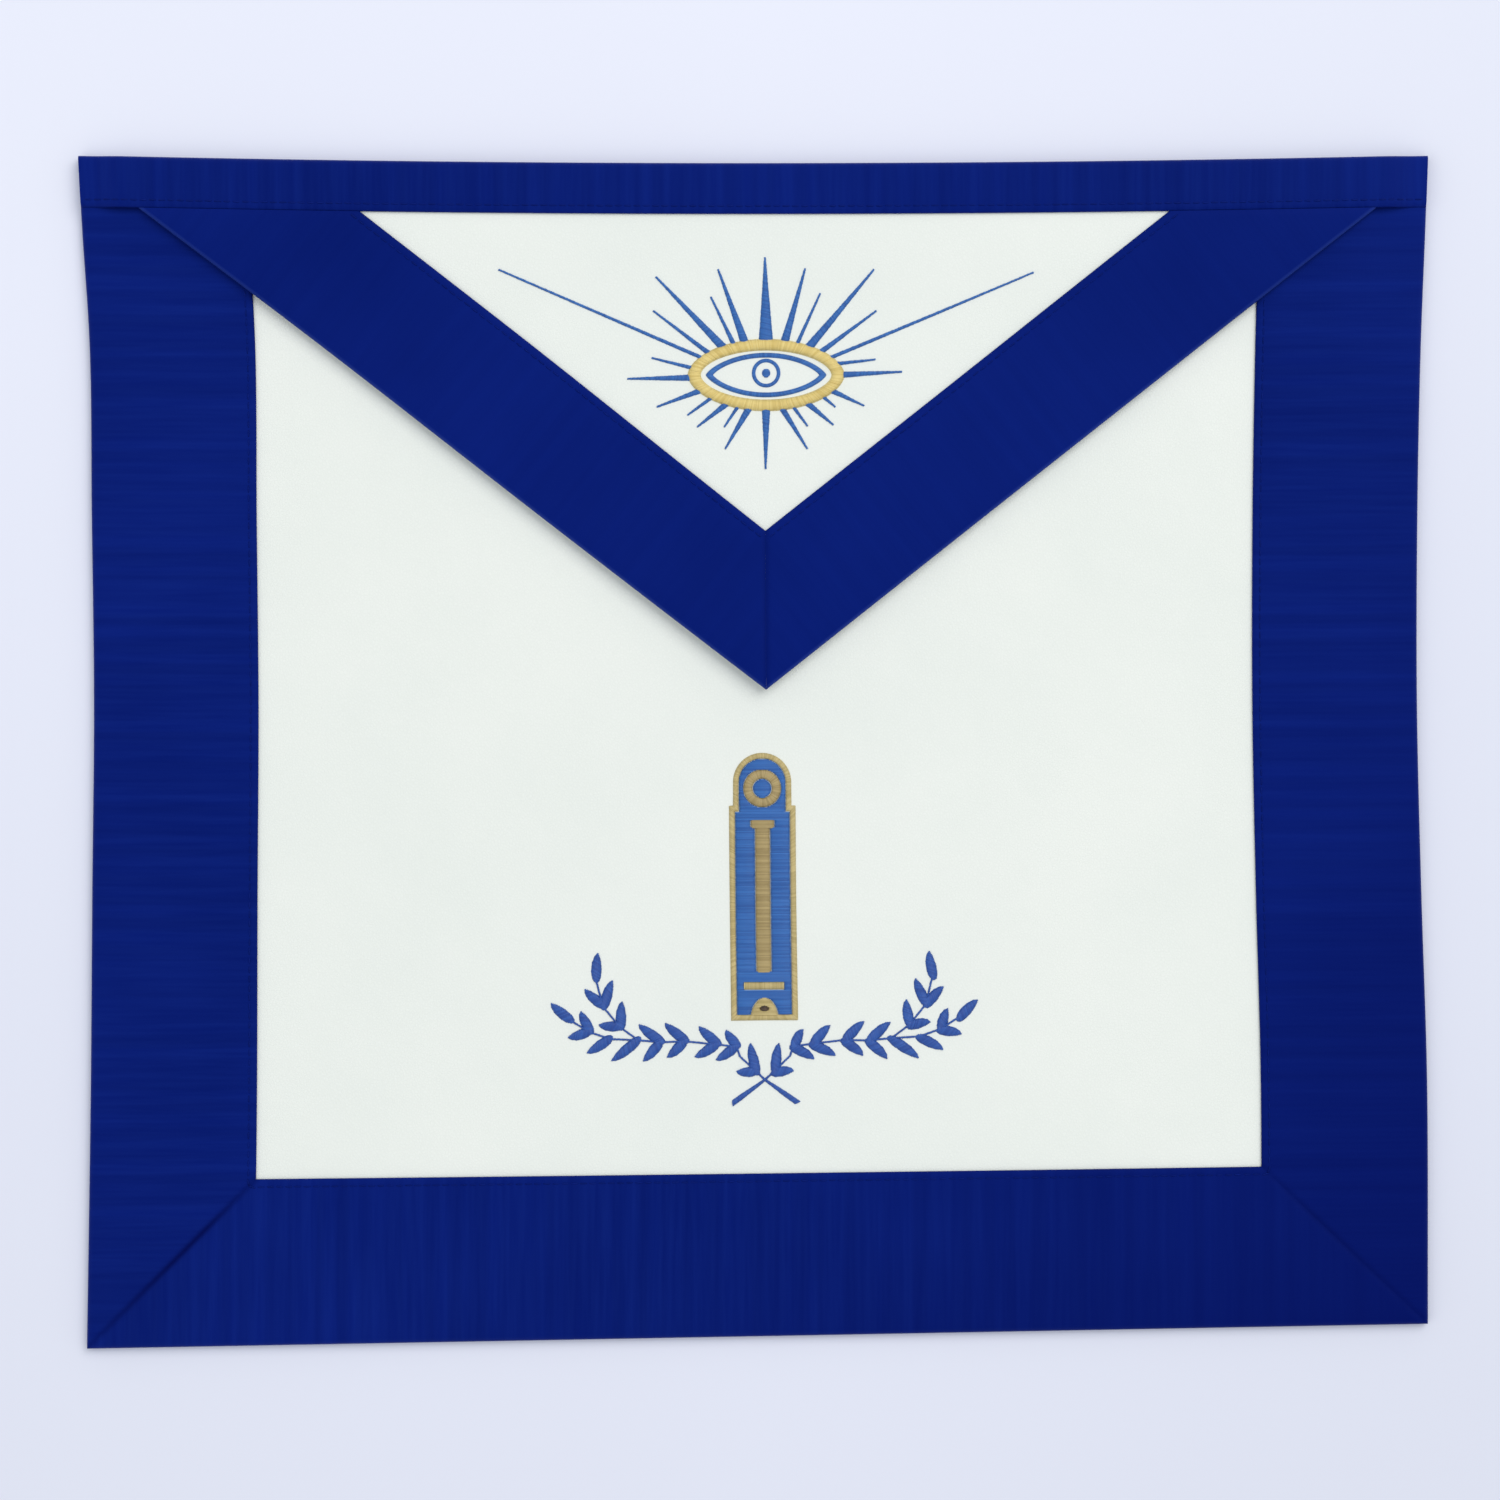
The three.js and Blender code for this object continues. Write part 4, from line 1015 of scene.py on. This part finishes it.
# Rise of the stitches' middle in millimetres, thread, slot and node of each piece
EMBROIDERY = {
    "rays": (0.35, BLUE_THREAD, "blue_thread", "eye_rays"),
    "rim": (1.0, GOLD_THREAD, "gold_thread", "eye_rim"),
    "lid": (0.35, BLUE_THREAD, "blue_thread", "eye_outline"),
    "iris": (0.3, BLUE_THREAD, "blue_thread", "eye_iris"),
    "pupil": (0.3, BLUE_THREAD, "blue_thread", "eye_pupil"),
    "frame": (0.45, PALE_GOLD_THREAD, "dull_gold_thread", "plumb_frame"),
    "field": (0.22, BLUE_THREAD, "blue_thread", "plumb_field"),
    "ring": (0.4, DULL_GOLD_THREAD, "dull_gold_thread", "plumb_ring"),
    "boss": (0.35, BLUE_THREAD, "blue_thread", "plumb_boss"),
    "line": (0.5, DULL_GOLD_THREAD, "dull_gold_thread", "plumb_line"),
    "bar": (0.4, PALE_GOLD_THREAD, "dull_gold_thread", "plumb_bar"),
    "bob": (0.8, DARK_THREAD, "dark_thread", "plumb_bob"),
    "sprigs": (0.4, DEEP_BLUE_THREAD, "blue_thread", "sprigs"),
}


def eye_place():
    """The longest ray's reach and the eye's middle: it fills the white of the flap up to its clearances."""
    top = BAND_EDGE - EYE_TOP_MARGIN
    by_drop = (top - FLAP_INNER_POINT - EYE_POINT_MARGIN) / EYE["drop"]
    white = (top - FLAP_INNER_POINT) / FLAP_TAN
    reach = min(by_drop, white - EYE_SIDE_MARGIN)
    return reach, np.array([FLAP_SHIFT, top - EYE["top"] * reach])


def embroider(name, ends, top):
    high, material, slot, node = EMBROIDERY[name]
    piece = strands_mesh(f"thread_{name}", ends, top, high, SATIN_THICK, material)
    dress(piece, slot, node)


def sew_on_flap(name, ends):
    embroider(name, ends, layer(FLAP_TOP, flap_rise))


def sew_on_body(name, ends):
    """The plumb rule and the sprigs are laid out about the middle and sewn a little right of it."""
    moved = [[(u + RULE_SHIFT, v) for u, v in stitch] for stitch in ends]
    embroider(name, moved, layer(LEATHER))


def eye_rays(reach, middle):
    rim = (EYE["rim_wide"] * reach, EYE["rim_high"] * reach)
    band = EYE["rim_band"] * reach
    ends = []
    for across, up, foot, wide in RAYS:
        turn = math.radians(foot)
        start = middle + ((rim[0] - band / 2) * math.cos(turn), (rim[1] - band / 2) * math.sin(turn))
        tip = middle + np.array([across, up]) * reach
        half = wide * reach / 2
        ends += column_stitches(
            [start, tip], lambda share: half + (RAY_TIP / 2 - half) * share ** RAY_TAPER)
    sew_on_flap("rays", ends)


def eye_ring(name, reach, middle, sharp):
    """An almond-shaped ring; the larger sharp is, the more pointed it is at both sides."""
    wide, high, band = (EYE[f"{name}_{size}"] * reach for size in ("wide", "high", "band"))
    outer = oval(middle, wide, high, sharp)
    inner = oval(middle, wide - band * sharp, high - band, sharp)
    sew_on_flap(name, ring_stitches(outer, inner))


def disc_stitches(middle, radius):
    ends = []
    for step in np.arange(-radius + SATIN_PITCH / 2, radius, SATIN_PITCH):
        half = chord(radius, step)
        ends.append(((middle[0] - half, middle[1] + step), (middle[0] + half, middle[1] + step)))
    return ends


def eye():
    reach, middle = eye_place()
    eye_rays(reach, middle)
    eye_ring("rim", reach, middle, RIM_SHARP)
    eye_ring("lid", reach, middle, LID_SHARP)
    iris = EYE["iris"] * reach
    iris_middle = middle + (0, (EYE["lid_high"] - EYE["lid_band"]) * reach - GAP - iris)
    inside = iris - EYE["iris_band"] * reach
    sew_on_flap("iris", ring_stitches(circle(iris_middle, iris), circle(iris_middle, inside)))
    sew_on_flap("pupil", disc_stitches(iris_middle, EYE["pupil"] * reach))


def rule_place():
    """The sprigs' feet, and the height from there to the rule's top."""
    foot = BORDER - HALF_HEIGHT + SPRIG_FOOT_MARGIN
    return foot, FLAP_POINT - RULE_TOP_MARGIN - foot


def rule_size(name):
    return RULE[name] * rule_place()[1]


def rule_level(name):
    return rule_place()[0] + rule_size(name)


def rule_outline(inset):
    """Outline of the plumb rule from its foot up and over its head, drawn in by a distance."""
    foot, high = rule_place()
    radius = rule_size("head_radius") - inset
    half = rule_size("half_wide") - inset
    middle = foot + high - rule_size("head_radius")
    low = rule_level("foot") + inset
    shoulder = rule_level("shoulder") - inset
    arc = [
        (radius * math.cos(turn), middle + radius * math.sin(turn))
        for turn in np.linspace(0, math.pi, HEAD_STEPS)
    ]
    return [(-half, low), (half, low), (half, shoulder), (radius, shoulder), *arc,
            (-radius, shoulder), (-half, shoulder)]


def half_width(outline, v):
    """Half width of a closed outline at a height."""
    half = 0.0
    for (x0, y0), (x1, y1) in zip(outline, outline[1:] + outline[:1]):
        if y0 != y1 and min(y0, y1) <= v <= max(y0, y1):
            half = max(half, x0 + (x1 - x0) * (v - y0) / (y1 - y0))
    return half


def line_half(v):
    """Half width of the plumb line and of the cap that it hangs from."""
    top = rule_level("line_top")
    if not rule_level("line_foot") <= v <= top:
        return 0.0
    return rule_size("cap_half_wide" if v > top - rule_size("cap_high") else "line_half_wide")


def arch_half(v):
    low = rule_level("foot")
    share = (v - low) / (rule_level("arch_top") - low)
    return rule_size("arch_half_wide") * chord(1, share) if share >= 0 else 0.0


def bob_half(v, tuck=0.0):
    """Half width of the bob, or of the room that the arch leaves for it."""
    share = (v - rule_level("bob_middle")) / (rule_size("bob_half_high") - tuck)
    return (rule_size("bob_half_wide") - tuck) * chord(1, share)


def bar_levels():
    middle = rule_level("bar_middle")
    half = rule_size("bar_high") / 2
    return middle - half, middle + half


def field_inner(v):
    """Half width that the gold pieces take out of the blue field."""
    low, top = bar_levels()
    ring = chord(rule_size("ring_outer"), v - rule_level("ring_middle"))
    bar = rule_size("bar_half_wide") if low <= v <= top else 0.0
    return max(line_half(v), arch_half(v), ring, bar)


def plumb_frame_and_field():
    band = rule_size("band")
    low = rule_level("foot") + band
    high = sum(rule_place()) - band
    inner = rule_outline(band)
    ends = ring_stitches(rule_outline(0), inner)
    ends += filled_stitches(low, rule_level("arch_top"), lambda v: bob_half(v, BOB_TUCK), arch_half)
    sew_on_body("frame", ends)
    ends = filled_stitches(
        low + FIELD_MARGIN, high - FIELD_MARGIN, field_inner, lambda v: half_width(inner, v))
    sew_on_body("field", ends)


def plumb_rule():
    plumb_frame_and_field()
    middle = (0, rule_level("ring_middle"))
    ring = rule_size("ring_outer")
    boss = rule_size("ring_inner")
    sew_on_body("ring", ring_stitches(circle(middle, ring), circle(middle, boss)))
    sew_on_body("boss", disc_stitches(middle, boss - BOSS_MARGIN))
    ends = filled_stitches(rule_level("line_foot"), rule_level("line_top"), lambda v: 0.0, line_half)
    sew_on_body("line", ends)
    low, top = bar_levels()
    half = rule_size("bar_half_wide")
    ends = [((u, low), (u, top)) for u in np.arange(-half, half, SATIN_PITCH)]
    sew_on_body("bar", ends)
    bob = rule_level("bob_middle")
    high = rule_size("bob_half_high")
    ends = filled_stitches(bob - high, bob + high, lambda v: 0.0, bob_half)
    sew_on_body("bob", ends)


def leaf_half(share):
    """Half width of a leaf's stitches, as a share of LEAF_WIDE; they start a little before its foot."""
    return np.interp(share * (1 + LEAF_TAIL) - LEAF_TAIL, LEAF_SHARES, LEAF_HALVES)


def sprigs():
    foot, high = rule_place()
    ends = []
    for side in (-1, 1):
        for line, first in ((STEM, STEM_FOOT_HALF), (TWIG, STEM_HALF)):
            points = [(side * out * high, foot + up * high) for out, up in line]
            ends += column_stitches(
                points, lambda share: np.interp(share, STEM_TAPER, (first, STEM_HALF)), STEM_SLANT)
        for out, up, tip_out, tip_up in LEAVES:
            start = np.array([side * out, up]) * high + (0, foot)
            tip = np.array([side * tip_out, tip_up]) * high + (0, foot)
            before = start - (tip - start) * LEAF_TAIL
            ends += column_stitches(
                [before, tip], lambda share: LEAF_WIDE * high * leaf_half(share), LEAF_SLANT)
    sew_on_body("sprigs", ends)


# Studio

def floor():
    mesh = bpy.data.meshes.new("floor")
    corners = [(x * FLOOR_REACH, y * FLOOR_REACH, 0) for x, y in ((-1, -1), (1, -1), (1, 1), (-1, 1))]
    mesh.from_pydata(corners, [], [(0, 1, 2, 3)])
    mesh.materials.append(floor_material())
    piece = add_object("floor", mesh)


def area_light(name, place, size, power, colour):
    light = bpy.data.lights.new(name, "AREA")
    light.size = size
    light.energy = power
    light.color = colour
    lamp = add_object(name, light)
    lamp.location = place
    lamp.rotation_euler = (-Vector(place)).to_track_quat("-Z", "Y").to_euler()


def studio():
    floor()
    area_light("key_light", (1.8, 2.0, 3.9), size=3.4, power=110.0, colour=(1.0, 0.985, 0.96))
    area_light("fill_light", (-1.6, -1.0, 3.4), size=4.0, power=27.0, colour=(0.93, 0.96, 1.0))
    world = bpy.data.worlds.new("studio")
    world.use_nodes = True
    background = world.node_tree.nodes["Background"]
    background.inputs["Color"].default_value = SKY
    background.inputs["Strength"].default_value = SKY_STRENGTH
    bpy.context.scene.world = world
    bpy.context.scene.view_settings.view_transform = "Standard"


def camera():
    lens = bpy.data.cameras.new("camera")
    lens.lens = LENS
    lens.sensor_width = SENSOR
    viewer = add_object("camera", lens)
    width = PHOTO_PIXELS * PIXEL
    x = (PHOTO_PIXELS / 2 - APRON_MIDDLE[0]) * PIXEL
    y = (APRON_MIDDLE[1] - PHOTO_PIXELS / 2) * PIXEL
    viewer.location = (x * MM, y * MM, (width * LENS / SENSOR + BORDER_TOP) * MM)
    bpy.context.scene.camera = viewer


camera()
studio()
body_panel()
flap_panel()
border_side(-1, "left")
border_side(1, "right")
border_bottom()
flap_border(-1, "left")
flap_border(1, "right")
waist_band()
ribbon_stitching()
eye()
plumb_rule()
sprigs()
